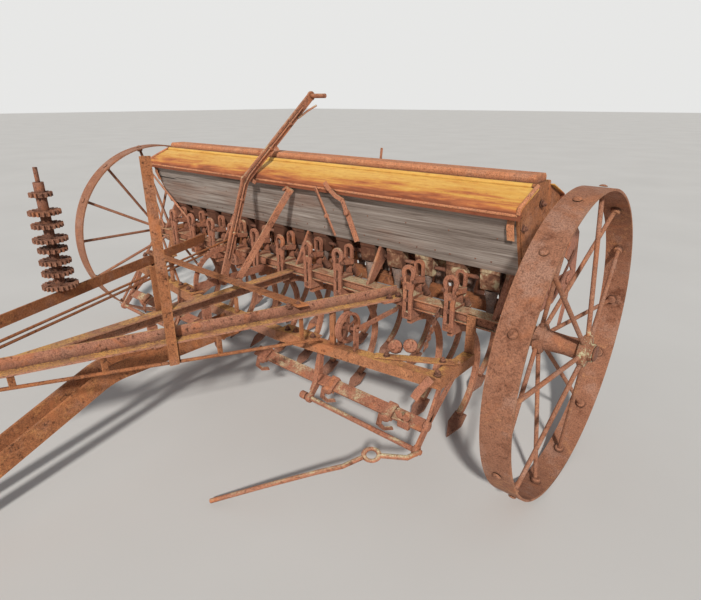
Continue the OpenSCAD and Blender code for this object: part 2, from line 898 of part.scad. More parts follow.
// A pointed shovel on the front face of the tine's end
module tine_point() {
  end = [
    tine_bow_r * cos(-bow_end),
    tine_top - tine_d / 2 - tine_bow_r + tine_bow_r * sin(-bow_end)
  ];
  translate([0, end[0], end[1]])
    rotate([90 - bow_end, 0, 0])
      translate([0, 0, -tine_d / 2 - point_t])
        linear_extrude(point_t)
          polygon([[-30, 20], [30, 20], [36, -50], [0, -point_l], [-36, -50]]);
}

module tine_points() {
  color(dark_rust) from_axle() {
    for (x = front_row) translate([x, -front_bar_y, bar_top]) tine_point();
    for (x = rear_row) translate([x, rear_bar_y, bar_top]) tine_point();
  }
}

// Lever

pivot_y = -430;
pivot_z = bar_top - 60;
stand_x0 = -lever_x - lever_t - 2 - 10;
quadrant_w = 24;

module lever_stand() {
  color(rust) from_axle() {
    side_plate(stand_x0, 10) {
      difference() {
        translate([pivot_y, pivot_z]) circle(r = quadrant_r + quadrant_w / 2, $fn = 96);
        translate([pivot_y, pivot_z]) circle(r = quadrant_r - quadrant_w / 2, $fn = 96);
        translate([pivot_y - 300, pivot_z - 600]) square([600, 600]);
      }
      translate([pivot_y - quadrant_r - quadrant_w / 2, pivot_z - 26])
        square([front_face - pivot_y + quadrant_r + quadrant_w / 2, 40]);
    }
    translate([stand_x0 - 20, front_face - 10, bar_low + 2]) cube([50, 10, bar_h - 4]);
    translate([stand_x0, pivot_y, pivot_z]) rotate([0, 90, 0])
      cylinder(r = pivot_r, h = 10 + 2 + lever_t + 8, $fn = 48);
  }
}

lever_knee = [-240, 1140];
lever_tip = [270, 1555];
knee_r = lever_w / 2 + 3;
lever_eye_r = lever_w * 0.75;
grip_r = 12;
grip_l = 110;

module lever_bar(a, b) {
  d = b - a;
  translate(a) rotate([0, 0, atan2(d[1], d[0])]) translate([0, -lever_w / 2]) square([norm(d), lever_w]);
}

module lift_lever() {
  color(rust) from_axle() {
    side_plate(-lever_x - lever_t, lever_t)
      difference() {
        union() {
          translate([pivot_y, pivot_z]) circle(r = lever_eye_r, $fn = 48);
          lever_bar([pivot_y, pivot_z], lever_knee);
          lever_bar(lever_knee, lever_tip);
          translate(lever_knee) circle(r = knee_r, $fn = 48);
          translate(lever_tip) circle(r = knee_r, $fn = 48);
        }
        translate([pivot_y, pivot_z]) circle(r = pivot_r + run_gap, $fn = 48);
      }
    // Hand grip
    translate([-lever_x - lever_t / 2, lever_tip[0], lever_tip[1]]) rotate([0, 90, 0])
      cylinder(r = grip_r, h = grip_l, $fn = 32);
  }
}

upright_y = -1090;
upright_w = 30;
upright_t = 8;
upright_sink = 83;
upright_h = 760;

// Flat bar that stands against the outer edge of the near pole
module upright_bar() {
  color(rust) from_axle()
    pole_strip(
      pole_w / 2, pole_w / 2 + upright_t,
      pole_low - upright_sink, upright_h,
      upright_y - upright_w / 2, upright_y + upright_w / 2
    );
}

post_y = -900;
post_w = 40;
post_l = 60;
post_h = 205;
post_hole_r = 9;
post_hole_z = 175;

// Channel that stands on the middle beam, open towards the hitch
module channel_post() {
  color(rust) from_axle()
    translate([centre_x, post_y, centre_top])
      difference() {
        translate([-post_w / 2, -post_l / 2, 0]) cube([post_w, post_l, post_h]);
        translate([-post_w / 2 + steel_t, -post_l / 2 - cut, -cut])
          cube([post_w, post_l - steel_t, post_h + 2 * cut]);
        translate([0, 0, post_hole_z]) rotate([-90, 0, 0]) cylinder(r = post_hole_r, h = post_l, $fn = 32);
      }
}

spindle_y = -1155;
spindle_h = 535;
spindle_out = 4;
spindle_x = -pole_x(spindle_y) - spindle_out;
collar_half = 18;
// Change wheels from the pole up, as [outer radius, teeth, height of the hub]
gear_table = [
  [75, 22, 60], [65, 19, 52], [65, 19, 54], [60, 17, 46],
  [70, 20, 62], [63, 18, 56], [65, 19, 76], [46, 13, 60]
];
gear_base = 8;

// The spindle stands on the far pole's level leg, on a foot that ends above the upright leg
module gear_spindle() {
  foot_low = pole_low + steel_t;
  color(dark_rust) from_axle()
    translate([spindle_x, spindle_y, 0]) {
      translate([0, 0, foot_low])
        cylinder(r = spindle_r, h = pole_top - foot_low + spindle_h, $fn = 32);
      translate([0, 0, foot_low])
        cylinder(r = collar_half, h = pole_top + gear_base - foot_low, $fn = 48);
    }
}

function stack_z(i) = i == 0 ? gear_base : stack_z(i - 1) + gear_table[i - 1][2];

module change_gear(r, teeth, h) {
  root = r - tooth_h;
  step = 360 / teeth;
  outline = [
    for (i = [0:teeth - 1], c = [[root, -0.3], [r, -0.16], [r, 0.16], [root, 0.3]])
      let (a = (i + c[1]) * step) [c[0] * cos(a), c[0] * sin(a)]
  ];
  difference() {
    union() {
      linear_extrude(gear_t) polygon(outline);
      cylinder(r = spindle_r + 12, h = h - fit_gap, $fn = 48);
    }
    translate([0, 0, -cut]) cylinder(r = spindle_r + fit_gap, h = h + 2 * cut, $fn = 48);
    for (k = [0:4])
      rotate([0, 0, k * 72]) translate([(root + spindle_r + 12) / 2, 0, -cut])
        cylinder(r = (root - spindle_r - 12) / 2 - 5, h = gear_t + 2 * cut, $fn = 32);
  }
}

module change_gears() {
  color(rust) from_axle()
    for (i = [0:len(gear_table) - 1])
      translate([spindle_x, spindle_y, pole_top + stack_z(i)])
        rotate([0, 0, i * 37])
          change_gear(gear_table[i][0], gear_table[i][1], gear_table[i][2]);
}

wheel_near();
wheel_far();
axle();
axle_brackets();
side_channels();
front_cross_bar();
mid_cross_bar();
rear_cross_bar();
pole_near();
pole_far();
pole_centre();
pole_head();
pole_cleats();
pole_brace();
drawbar_flats();
hitch_block();
drawbar_hangers();
front_frame_near();
front_frame_far();
front_tie();
frame_straps();
hopper_front_board();
hopper_rear_board();
hopper_floor();
hopper_divider();
hopper_ends();
ridge_cap();
front_lid();
rear_lid();
hopper_stands();
feed_cups();
feed_shafts();
tine_brackets();
tine_springs();
tines();
tine_points();
lever_stand();
lift_lever();
upright_bar();
channel_post();
gear_spindle();
change_gears();
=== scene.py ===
"""Looks of an old, rusted seed drill on two spoked steel wheels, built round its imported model."""

import math
import random

import bpy
from mathutils import Matrix, Vector


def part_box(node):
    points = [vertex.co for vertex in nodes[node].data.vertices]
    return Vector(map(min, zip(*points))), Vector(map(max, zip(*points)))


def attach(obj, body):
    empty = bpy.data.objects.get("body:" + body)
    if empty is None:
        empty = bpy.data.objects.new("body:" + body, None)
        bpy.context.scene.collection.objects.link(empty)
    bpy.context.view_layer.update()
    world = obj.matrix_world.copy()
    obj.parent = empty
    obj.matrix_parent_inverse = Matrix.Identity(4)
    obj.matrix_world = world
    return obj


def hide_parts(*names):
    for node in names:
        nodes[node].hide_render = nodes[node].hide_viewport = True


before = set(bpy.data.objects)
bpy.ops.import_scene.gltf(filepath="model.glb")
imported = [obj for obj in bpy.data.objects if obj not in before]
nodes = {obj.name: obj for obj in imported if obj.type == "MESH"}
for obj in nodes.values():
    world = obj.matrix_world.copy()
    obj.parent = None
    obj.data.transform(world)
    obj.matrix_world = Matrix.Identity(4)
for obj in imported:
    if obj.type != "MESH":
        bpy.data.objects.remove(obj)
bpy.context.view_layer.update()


# Places and sizes in metres. X runs along the width, Y back from the hitch, Z up.

def middle_of(node):
    """The middle of a node's box."""
    low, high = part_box(node)
    return (low + high) / 2


AXLE_Y = middle_of("axle").y
AXLE_Z = middle_of("axle").z
BAR_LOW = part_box("front_cross_bar")[0].z
BAR_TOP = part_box("front_cross_bar")[1].z
BAR_HALF = 0.030
FRONT_BAR_Y = middle_of("front_cross_bar").y
REAR_BAR_Y = middle_of("rear_cross_bar").y

WHEEL_R = AXLE_Z
WHEEL_X = middle_of("wheel_near").x + 0.031  # the hub reaches farther in than out
RIM_T = 0.009
SPOKES = 14
NEAR_TURN = math.radians(14.6)
FAR_TURN = math.radians(9.8)

TINE_PITCH = 0.2125
TINE_FIRST = 1.047
TINE_PLACES = 11
MISSING_TINE = 2
FRONT_ROW = [TINE_FIRST - i * TINE_PITCH for i in range(TINE_PLACES) if i != MISSING_TINE]
REAR_ROW = [TINE_FIRST - (i + 0.5) * TINE_PITCH for i in range(TINE_PLACES - 1)]
CLAMP_T = 0.012
ROD_Z = 0.062
ROD_FALL = math.radians(51)
SPRING_FROM = 0.024
SPRING_L = 0.084
SPRING_R = 0.015
SPRING_WIRE = 0.0042
SPRING_TURNS = 8

POLE_SPREAD = 0.779
POLE_MEET = 0.072
POLE_RUN = 1.765
POLE_FOOT = -0.135
POLE_SLOPE = (POLE_SPREAD - POLE_MEET) / POLE_RUN
POLE_LOW = 0.688
FRAME_TOP = 0.525
FRAME_LOW = 0.520

BOARD_FOOT_Y = -0.030
BOARD_FOOT_Z = 0.870
BOARD_LEAN = 0.393
LEVER_PIVOT = (-0.430, 0.640)
ELBOW = (-0.470, 0.335)
ARM_FOOT = (-0.542, 0.262)

ACROSS = (1, 0, 0)
AHEAD = (0, -1, 0)
UP = (0, 0, 1)
TILTED = (0, -0.5, 0.866)

SIDE_NAMES = {1: "near", -1: "far"}
BOTH_SIDES = (-1, 1)
EDGE_WEAR = 0.0012
SMOOTH_FLAT = math.radians(35)
SMOOTH_ROUND = math.radians(50)
WORN = random.Random(11)


# Modelling helpers

def at(x, back, height):
    """A place by its distance behind the axle and its height over the ground."""
    return Vector((x, AXLE_Y + back, height))


def path(places, side=1):
    """A route's places by (x, distance behind the axle, height), on this side or mirrored to the other."""
    return [at(side * x, back, height) for x, back, height in places]


def deselect():
    """Nothing is selected and nothing is active."""
    if bpy.context.object and bpy.context.object.mode != "OBJECT":
        bpy.ops.object.mode_set(mode="OBJECT")
    bpy.ops.object.select_all(action="DESELECT")
    bpy.context.view_layer.objects.active = None


def choose(piece):
    """Makes a piece the selected and active one."""
    deselect()
    piece.select_set(True)
    bpy.context.view_layer.objects.active = piece
    return piece


def edit(piece, kind="FACE", picked="DESELECT"):
    """Opens a piece for editing, with nothing or all of it selected."""
    choose(piece)
    bpy.ops.object.mode_set(mode="EDIT")
    bpy.ops.mesh.select_mode(type=kind)
    bpy.ops.mesh.select_all(action=picked)


def pick_faces(piece, test):
    """Selects the faces of the piece in edit mode whose middle and normal pass the test."""
    bpy.ops.mesh.select_all(action="DESELECT")
    bpy.ops.object.mode_set(mode="OBJECT")
    for face in piece.data.polygons:
        face.select = test(face.center, face.normal)
    bpy.ops.object.mode_set(mode="EDIT")


def looks_up(middle, normal):
    """Whether a face is a top one."""
    return normal.z > 0.9


def face_outward():
    """Turns all normals of the piece in edit mode outward."""
    bpy.ops.mesh.select_all(action="SELECT")
    bpy.ops.mesh.normals_make_consistent(inside=False)


def rounded(piece, width, segments=2):
    """Bevels the sharp edges of a piece and smooths what is left."""
    choose(piece)
    bevel = piece.modifiers.new("Worn edges", "BEVEL")
    bevel.width = width
    bevel.segments = segments
    bevel.limit_method = "ANGLE"
    bpy.ops.object.modifier_apply(modifier=bevel.name)
    bpy.ops.object.shade_smooth_by_angle(angle=SMOOTH_FLAT)
    return piece


def settle(piece):
    """Puts the place, turn and size of a piece into its mesh."""
    choose(piece)
    bpy.ops.object.transform_apply(location=True, rotation=True, scale=True)
    return piece


def toward(place, axis, roll=0.0, size=1.0):
    """The matrix that stands a piece on a place with its Z along an axis."""
    turn = Vector(axis).to_track_quat("Z", "Y").to_matrix().to_4x4()
    return Matrix.Translation(Vector(place)) @ turn @ Matrix.Rotation(roll, 4, "Z") @ Matrix.Scale(size, 4)


def dress(piece, material, body="root"):
    """Gives a piece its finish and the body that it moves with."""
    piece.data.materials.clear()
    piece.data.materials.append(material)
    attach(piece, body)
    return piece


def joined(pieces, name, material, body="root"):
    """One piece of several, with its finish and body."""
    deselect()
    for piece in pieces:
        piece.select_set(True)
    bpy.context.view_layer.objects.active = pieces[0]
    if len(pieces) > 1:
        bpy.ops.object.join()
    whole = bpy.context.object
    whole.name = name
    return dress(whole, material, body)


def copies(master, places, name, material, body="root"):
    """One piece made of a copy of the master at each place."""
    made = []
    for place in places:
        piece = bpy.data.objects.new(name, master.data.copy())
        piece.data.transform(place)
        bpy.context.scene.collection.objects.link(piece)
        made.append(piece)
    return joined(made, name, material, body)


def drop(*masters):
    """Removes pieces that have done their work."""
    for master in masters:
        bpy.data.objects.remove(master)


def swept(route, section, facing=UP, soften=EDGE_WEAR):
    """A bar of one section along a route, mitred where it bends, with its broad side towards facing."""
    route = [Vector(place) for place in route]
    leg = (route[1] - route[0]).normalized()
    side = leg.cross(Vector(facing)).normalized()
    out = side.cross(leg)
    bpy.ops.mesh.primitive_circle_add(vertices=len(section), fill_type="NGON")
    piece = bpy.context.object
    for vertex, (across, up) in zip(piece.data.vertices, section):
        vertex.co = route[0] + side * across + out * up
    edit(piece, "VERT", "SELECT")
    for k in range(1, len(route)):
        leg = (route[k] - route[k - 1]).normalized()
        after = (route[k + 1] - route[k]).normalized() if k + 1 < len(route) else leg
        mitre = (leg + after).normalized()
        bpy.ops.mesh.extrude_region_move()
        bpy.ops.object.mode_set(mode="OBJECT")
        for vertex in piece.data.vertices:
            if vertex.select:
                vertex.co += leg * ((route[k] - vertex.co).dot(mitre) / leg.dot(mitre))
        bpy.ops.object.mode_set(mode="EDIT")
    face_outward()
    return rounded(piece, soften, 1)


def strip(route, width, thick, facing=UP, soften=EDGE_WEAR):
    """A flat bar along a route."""
    across, up = width / 2, thick / 2
    return swept(route, [(-across, -up), (across, -up), (across, up), (-across, up)], facing, soften)


def rod(route, radius, facing=UP, sides=14):
    """A round bar along a route."""
    turns = [math.tau * i / sides for i in range(sides)]
    return swept(route, [(radius * math.cos(turn), radius * math.sin(turn)) for turn in turns], facing)


def slab(outline, x, thick):
    """A plain plate across X with an outline of (distance behind the axle, height) points."""
    bpy.ops.mesh.primitive_circle_add(vertices=len(outline), fill_type="NGON")
    plate = bpy.context.object
    for vertex, (back, height) in zip(plate.data.vertices, outline):
        vertex.co = at(x, back, height)
    edit(plate, "FACE", "SELECT")
    bpy.ops.mesh.extrude_region_move(TRANSFORM_OT_translate={"value": (thick, 0, 0)})
    face_outward()
    deselect()
    return plate


def cut_plate(outline, x, thick, hole):
    """A plate with a hole cut through it."""
    plate = slab(outline, x, thick)
    cutter = slab(hole, x - thick, 3 * thick)
    cut = plate.modifiers.new("Hole", "BOOLEAN")
    cut.operation = "DIFFERENCE"
    cut.object = cutter
    cut.solver = "EXACT"
    choose(plate)
    bpy.ops.object.modifier_apply(modifier=cut.name)
    drop(cutter)
    return rounded(plate, EDGE_WEAR, 1)


def turned(profile, place, axis, steps=40):
    """A round piece from a closed profile of (radius, height) points, stood on a place along an axis."""
    bpy.ops.mesh.primitive_circle_add(vertices=len(profile))
    piece = bpy.context.object
    for vertex, (radius, height) in zip(piece.data.vertices, profile):
        vertex.co = (radius, 0, height)
    turn = piece.modifiers.new("Turn", "SCREW")
    turn.axis = "Z"
    turn.angle = math.tau
    turn.steps = turn.render_steps = steps
    turn.use_merge_vertices = True
    bpy.ops.object.modifier_apply(modifier=turn.name)
    edit(piece, "VERT", "SELECT")
    bpy.ops.mesh.remove_doubles(threshold=0.0001)
    face_outward()
    deselect()
    piece.data.transform(toward(place, axis))
    return rounded(piece, 0.001, 1)


def ring_profile(reach, wire, steps):
    """The section of a ring bent from round wire, for turned."""
    turns = [math.tau * i / steps for i in range(steps)]
    return [(reach + wire * math.cos(turn), wire * math.sin(turn)) for turn in turns]


def knob(place, axis, radius, length):
    """A short round boss with a softened, slightly raised face."""
    shoulder, rise, wear = radius * 0.3, radius * 0.12, min(0.003, radius * 0.15)
    middle = (0, 0, length / 2)
    bpy.ops.mesh.primitive_cylinder_add(vertices=28, radius=radius, depth=length, location=middle)
    boss = settle(bpy.context.object)
    edit(boss)
    pick_faces(boss, looks_up)
    bpy.ops.mesh.inset(thickness=shoulder)
    bpy.ops.transform.translate(value=(0, 0, rise))
    deselect()
    boss.data.transform(toward(place, axis))
    return rounded(boss, wear, 2)


# Finishes

def add_node(tree, kind, inputs=None, **settings):
    """Adds a node, with its settings and with its sockets set or linked."""
    node = tree.nodes.new(kind)
    for key, value in settings.items():
        setattr(node, key, value)
    for socket, value in (inputs or {}).items():
        if isinstance(value, bpy.types.NodeSocket):
            tree.links.new(value, node.inputs[socket])
        else:
            node.inputs[socket].default_value = value
    return node


class Finish:
    """A procedural finish in the making, on the place of a point in its piece."""

    def __init__(self, name, shift=(0, 0, 0)):
        self.material = bpy.data.materials.new(name)
        self.material.use_nodes = True
        self.tree = self.material.node_tree
        self.tree.nodes.clear()
        spot = self.add("ShaderNodeTexCoord")
        self.raw = spot.outputs["Object"]
        self.normal = spot.outputs["Normal"]
        self.place = self.add("ShaderNodeMapping", {"Vector": self.raw, "Location": shift}).outputs[0]

    def add(self, kind, inputs=None, **settings):
        """Adds a node to this finish."""
        return add_node(self.tree, kind, inputs, **settings)

    def noise(self, scale, detail=5.0, rough=0.6, stretch=None, warp=0.0):
        """A noise from 0 to 1, stretched where a pattern runs one way."""
        place = self.place
        if stretch:
            place = self.add("ShaderNodeMapping", {"Vector": place, "Scale": stretch}).outputs[0]
        inputs = {"Vector": place, "Scale": scale, "Detail": detail, "Roughness": rough, "Distortion": warp}
        return self.add("ShaderNodeTexNoise", inputs).outputs["Fac"]

    def span(self, value, low, high, to_low=0.0, to_high=1.0):
        """Brings a value between two bounds smoothly to another range."""
        inputs = {"Value": value, "From Min": low, "From Max": high, "To Min": to_low, "To Max": to_high}
        return self.add("ShaderNodeMapRange", inputs, interpolation_type="SMOOTHSTEP").outputs[0]

    def math(self, operation, a, b=0.0):
        """A sum on values."""
        return self.add("ShaderNodeMath", {0: a, 1: b}, operation=operation).outputs[0]

    def plus(self, a, b):
        """Two values added up."""
        return self.math("ADD", a, b)

    def less(self, a, b):
        """One value less another."""
        return self.math("SUBTRACT", a, b)

    def times(self, a, b):
        """Two values multiplied."""
        return self.math("MULTIPLY", a, b)

    def ramp(self, value, *stops):
        """A colour ramp through (place, colour) stops."""
        node = self.add("ShaderNodeValToRGB", {"Fac": value})
        marks = node.color_ramp.elements
        while len(marks) < len(stops):
            marks.new(0.5)
        for mark, (place, colour) in zip(marks, stops):
            mark.position = place
            mark.color = (*colour, 1)
        return node.outputs["Color"]

    def mix(self, factor, a, b, blend="MIX"):
        """Lays colour b over colour a."""
        under, over = [(*colour, 1) if isinstance(colour, tuple) else colour for colour in (a, b)]
        inputs = {0: factor, 6: under, 7: over}
        return self.add("ShaderNodeMix", inputs, data_type="RGBA", blend_type=blend).outputs[2]

    def tint(self, factor, colour, by):
        """Multiplies a colour by another, as far as the factor goes."""
        return self.mix(factor, colour, self.mix(1.0, colour, by, "MULTIPLY"))

    def part(self, vector, axis):
        """One part of a vector: X, Y or Z."""
        return self.add("ShaderNodeSeparateXYZ", {0: vector}).outputs[axis]

    def upward(self):
        """1 where a face looks up, 0 where it doesn't."""
        return self.span(self.part(self.normal, "Z"), 0.35, 0.85)

    def corner_shade(self, reach=0.05):
        """1 deep in a corner, 0 in the open, from ambient occlusion: the mask for painted shade in corners.
        """
        open_air = self.add("ShaderNodeAmbientOcclusion", {"Distance": reach}, samples=6).outputs["AO"]
        return self.span(open_air, 0.9, 0.35)

    def edge(self, reach=0.004):
        """1 along the edges of a form, 0 on its flats."""
        soft = self.add("ShaderNodeBevel", {"Radius": reach}, samples=4).outputs[0]
        sharp = self.add("ShaderNodeNewGeometry").outputs["Normal"]
        meet = self.add("ShaderNodeVectorMath", {0: soft, 1: sharp}, operation="DOT_PRODUCT")
        return self.span(meet.outputs["Value"], 0.995, 0.86)

    def barrel(self):
        """1 on a wheel's hub outside its spokes, 0 elsewhere."""
        aside = self.less(self.part(self.raw, "Y"), AXLE_Y)
        above = self.less(self.part(self.raw, "Z"), AXLE_Z)
        away = self.math("SQRT", self.plus(self.times(aside, aside), self.times(above, above)))
        outside = self.span(self.math("ABSOLUTE", self.part(self.raw, "X")), 1.545, 1.565)
        return self.times(self.span(away, 0.085, 0.07), outside)

    def finish(self, colour, rough, height=None, depth=0.001, gloss=0.3):
        """Closes the finish with its shader."""
        inputs = {"Base Color": colour, "Roughness": rough, "Specular IOR Level": gloss}
        shader = self.add("ShaderNodeBsdfPrincipled", inputs)
        if height is not None:
            bump = self.add("ShaderNodeBump", {"Height": height, "Distance": depth, "Strength": 1.0})
            self.tree.links.new(bump.outputs[0], shader.inputs["Normal"])
        self.add("ShaderNodeOutputMaterial", {"Surface": shader.outputs[0]})
        return self.material


# Dark rust brown; the lid also uses it for painted shade in its corners.
BROWN = (0.105, 0.036, 0.018)
RUST = (0.31, 0.122, 0.052)
ORANGE = (0.50, 0.228, 0.085)
MAUVE = (0.34, 0.185, 0.128)
# Near-black, used both for pits and for painted shade in corners.
DARK = (0.040, 0.018, 0.012)
FRESH = (0.58, 0.20, 0.075)
LICHEN = (0.76, 0.43, 0.13)
LICHEN_PALE = (0.62, 0.58, 0.36)
GRAIN_LIT = (1.6, 1.5, 1.45)
GRAIN_DARK = (0.42, 0.36, 0.34)
PAINT_BARE = (0.22, 0.075, 0.04)
PAINT_DIRTY = (0.80, 0.52, 0.42)
PAINT_CLEAN = (1.18, 1.25, 1.3)
PAINT_WASH = (0.78, 0.62, 0.55)
WOOD_DAMP = (0.92, 0.62, 0.50)
WOOD_STAIN = (0.085, 0.058, 0.045)
WOOD_CRACK = (0.025, 0.019, 0.016)
# Colour of the painted shade in the boards' corners.
WOOD_CORNER_SHADE = (0.07, 0.05, 0.04)
CREAM_SPECK = (0.12, 0.085, 0.05)
# Colour of the painted shade in the cups' corners.
CREAM_CORNER_SHADE = (0.10, 0.06, 0.04)


def rusted(name, shift=(0, 0, 0), brown=BROWN, rust=RUST, orange=ORANGE, mauve=0.35, lichen=0.0,
           yellow=0.0, pitting=1.0, bloom=0.45, hub=False):
    """Old rust in layers: patches, mottling, fresh bloom, lighter edges that are partly wear and partly
    painted highlight, pits, painted shade in the corners and lichen on top.
    """
    f = Finish(name, shift)
    patches = f.noise(3.6, 6, 0.64, warp=0.4)
    mottle = f.noise(26, 8, 0.70, warp=0.6)
    grit = f.noise(190, 6, 0.75)
    tone = f.plus(f.times(patches, 0.42), f.times(mottle, 0.58))
    colour = f.ramp(tone, (0.35, brown), (0.46, rust), (0.54, rust), (0.66, orange))
    dusty = f.span(f.noise(8.5, 7, 0.66), 0.50, 0.64)
    colour = f.mix(f.times(dusty, mauve), colour, MAUVE)
    colour = f.tint(f.span(grit, 0.42, 0.62, 0.0, 0.7), colour, GRAIN_LIT)
    colour = f.tint(f.span(grit, 0.50, 0.34, 0.0, 0.75), colour, GRAIN_DARK)
    fresh = f.span(f.noise(7, 6, 0.6, warp=0.8), 0.54, 0.66)
    colour = f.mix(f.times(fresh, bloom), colour, FRESH)
    # Lighter orange along the edges, from the bevel mask: partly edge wear, partly a painted highlight.
    colour = f.mix(f.times(f.edge(), 0.55), colour, orange)
    pits = f.span(f.noise(62, 8, 0.8), 0.56, 0.66)
    colour = f.mix(f.times(pits, 0.8 * pitting), colour, DARK)
    # Painted shade: near-black darkening in corners and between parts, from ambient occlusion.
    colour = f.mix(f.times(f.corner_shade(), 0.85), colour, DARK)
    if lichen or yellow:
        spread = f.span(f.noise(6, 7, 0.72), 0.60 - 0.26 * max(lichen, yellow), 0.62)
        specks = f.span(f.noise(130, 6, 0.8), 0.40, 0.56)
        crust = f.times(f.times(spread, specks), f.upward())
        colour = f.mix(f.times(crust, 0.92), colour, LICHEN if yellow else LICHEN_PALE)
    if hub:
        crust = f.times(f.barrel(), f.span(f.noise(34, 7, 0.75), 0.50, 0.60))
        colour = f.mix(f.times(crust, 0.9), colour, LICHEN_PALE)
    height = f.plus(f.times(grit, 0.8), mottle)
    height = f.less(height, f.times(pits, 0.6 * pitting))
    rough = f.span(mottle, 0.35, 0.65, 0.95, 0.72)
    return f.finish(colour, rough, height, 0.0028)


def painted_sheet(name, low_z, high_z):
    """Yellow paint on a lid's sheet, in streaks along it, worn through to rust towards its lower edge."""
    f = Finish(name)
    streak = f.noise(5.5, 7, 0.62, stretch=(0.55, 6, 6), warp=0.6)
    patch = f.noise(3.4, 6, 0.6, stretch=(0.8, 2.5, 2.5), warp=0.4)
    level = f.span(f.part(f.raw, "Z"), low_z, high_z)
    worn = f.plus(level, f.times(f.less(streak, 0.5), 1.25))
    worn = f.plus(worn, f.times(f.less(patch, 0.5), 0.9))
    paint = f.ramp(
        worn, (0.16, (0.24, 0.075, 0.035)), (0.36, (0.46, 0.15, 0.055)), (0.50, (0.60, 0.245, 0.065)),
        (0.64, (0.70, 0.37, 0.075)), (0.95, (0.76, 0.46, 0.11)),
    )
    speck = f.span(f.noise(85, 6, 0.72), 0.58, 0.68)
    thin = f.span(worn, 0.95, 0.35)
    paint = f.mix(f.times(f.times(speck, thin), 0.7), paint, PAINT_BARE)
    fleck = f.noise(48, 7, 0.75, stretch=(0.35, 1.6, 1.6))
    paint = f.tint(f.span(fleck, 0.50, 0.62, 0.0, 0.55), paint, PAINT_DIRTY)
    paint = f.tint(f.span(fleck, 0.46, 0.36, 0.0, 0.5), paint, PAINT_CLEAN)
    wash = f.noise(26, 5, 0.6, stretch=(0.6, 3, 3))
    paint = f.tint(f.span(wash, 0.35, 0.75, 0.0, 0.35), paint, PAINT_WASH)
    # Painted shade: brown darkening in the lid's corners, from ambient occlusion.
    paint = f.mix(f.times(f.corner_shade(0.03), 0.5), paint, BROWN)
    height = f.plus(f.times(streak, 0.6), f.times(speck, -0.4))
    rough = f.span(worn, 0.3, 0.8, 0.85, 0.52)
    return f.finish(paint, rough, height, 0.0012, gloss=0.4)


def weathered_wood(name):
    """Bare boards gone grey: long grain, raised fibres, cracks, and brown where they stay damp."""
    f = Finish(name)
    wave = f.noise(1.7, 3, 0.5, stretch=(0.6, 1, 3))
    grain = f.noise(30, 8, 0.68, stretch=(0.05, 1.2, 2.0), warp=0.7)
    fibre = f.noise(95, 6, 0.7, stretch=(0.035, 1, 1.4), warp=0.3)
    tone = f.plus(f.times(grain, 0.6), f.times(fibre, 0.4))
    tone = f.plus(tone, f.times(f.less(wave, 0.5), 0.28))
    colour = f.ramp(
        tone, (0.34, (0.085, 0.060, 0.047)), (0.45, (0.24, 0.195, 0.165)),
        (0.55, (0.37, 0.315, 0.275)), (0.68, (0.56, 0.50, 0.45)),
    )
    damp = f.span(f.noise(2.4, 5, 0.6, stretch=(0.5, 1, 2.2)), 0.47, 0.64)
    colour = f.tint(f.times(damp, 0.55), colour, WOOD_DAMP)
    stain = f.span(f.noise(5.2, 4, 0.6, stretch=(1, 1, 0.35)), 0.62, 0.76)
    colour = f.mix(f.times(stain, 0.5), colour, WOOD_STAIN)
    crack = f.span(f.noise(13, 4, 0.55, stretch=(0.035, 1, 1.6), warp=0.4), 0.655, 0.69)
    colour = f.mix(f.times(crack, 0.85), colour, WOOD_CRACK)
    # Painted shade: dark brown in the boards' corners and joints, from ambient occlusion.
    colour = f.mix(f.times(f.corner_shade(0.06), 0.45), colour, WOOD_CORNER_SHADE)
    return f.finish(colour, 0.92, f.less(tone, f.times(crack, 0.7)), 0.004, gloss=0.2)


def cream_casting(name):
    """Castings with old cream paint, pitted, rusted in patches and grown over with lichen, with painted
    shade in their corners.
    """
    f = Finish(name)
    blotch = f.noise(16, 7, 0.68, warp=0.4)
    # The cups darken away from the near end of the row.
    painted = f.plus(blotch, f.span(f.part(f.raw, "X"), 0.25, 0.75, -0.2, -0.03))
    colour = f.ramp(
        painted, (0.38, (0.12, 0.048, 0.028)), (0.48, (0.27, 0.13, 0.075)),
        (0.56, (0.48, 0.37, 0.23)), (0.68, (0.62, 0.55, 0.34)),
    )
    speck = f.span(f.noise(110, 6, 0.75), 0.56, 0.66)
    colour = f.mix(f.times(speck, 0.7), colour, CREAM_SPECK)
    # Painted shade: dark brown in the cups' corners, from ambient occlusion.
    colour = f.mix(f.times(f.corner_shade(), 0.7), colour, CREAM_CORNER_SHADE)
    return f.finish(colour, 0.88, f.plus(blotch, f.times(f.noise(140, 5, 0.7), 0.6)), 0.002)


rust_plain = rusted("Rolled steel rust")
rust_bright = rusted("Bright frame rust", (3, 1, 2), rust=(0.36, 0.155, 0.09), orange=(0.55, 0.25, 0.14),
                     lichen=0.7)
rust_dark = rusted("Dark spring rust", (1, 5, 3), brown=(0.07, 0.03, 0.02), rust=(0.19, 0.085, 0.055),
                   orange=(0.32, 0.15, 0.09))
rust_pole = rusted("Pole rust with yellow crust", (2, 2, 7), rust=(0.36, 0.17, 0.11),
                   orange=(0.48, 0.24, 0.14), mauve=0.6, yellow=1.0)
rust_beam = rusted("Beam rust with yellow crust", (5, 3, 7), rust=(0.33, 0.16, 0.10),
                   orange=(0.46, 0.25, 0.14), mauve=0.5, yellow=1.0)
rust_wheel = rusted("Wheel rust", (6, 2, 1), brown=(0.16, 0.062, 0.034), rust=(0.29, 0.132, 0.078),
                    orange=(0.46, 0.22, 0.105), mauve=0.85, pitting=0.35, bloom=0.25, hub=True)
rust_ridge = rusted("Ridge rust", (8, 8, 1), brown=(0.28, 0.09, 0.045), rust=(0.50, 0.21, 0.105),
                    orange=(0.70, 0.38, 0.20), mauve=0.45, pitting=0.5, bloom=0.3)
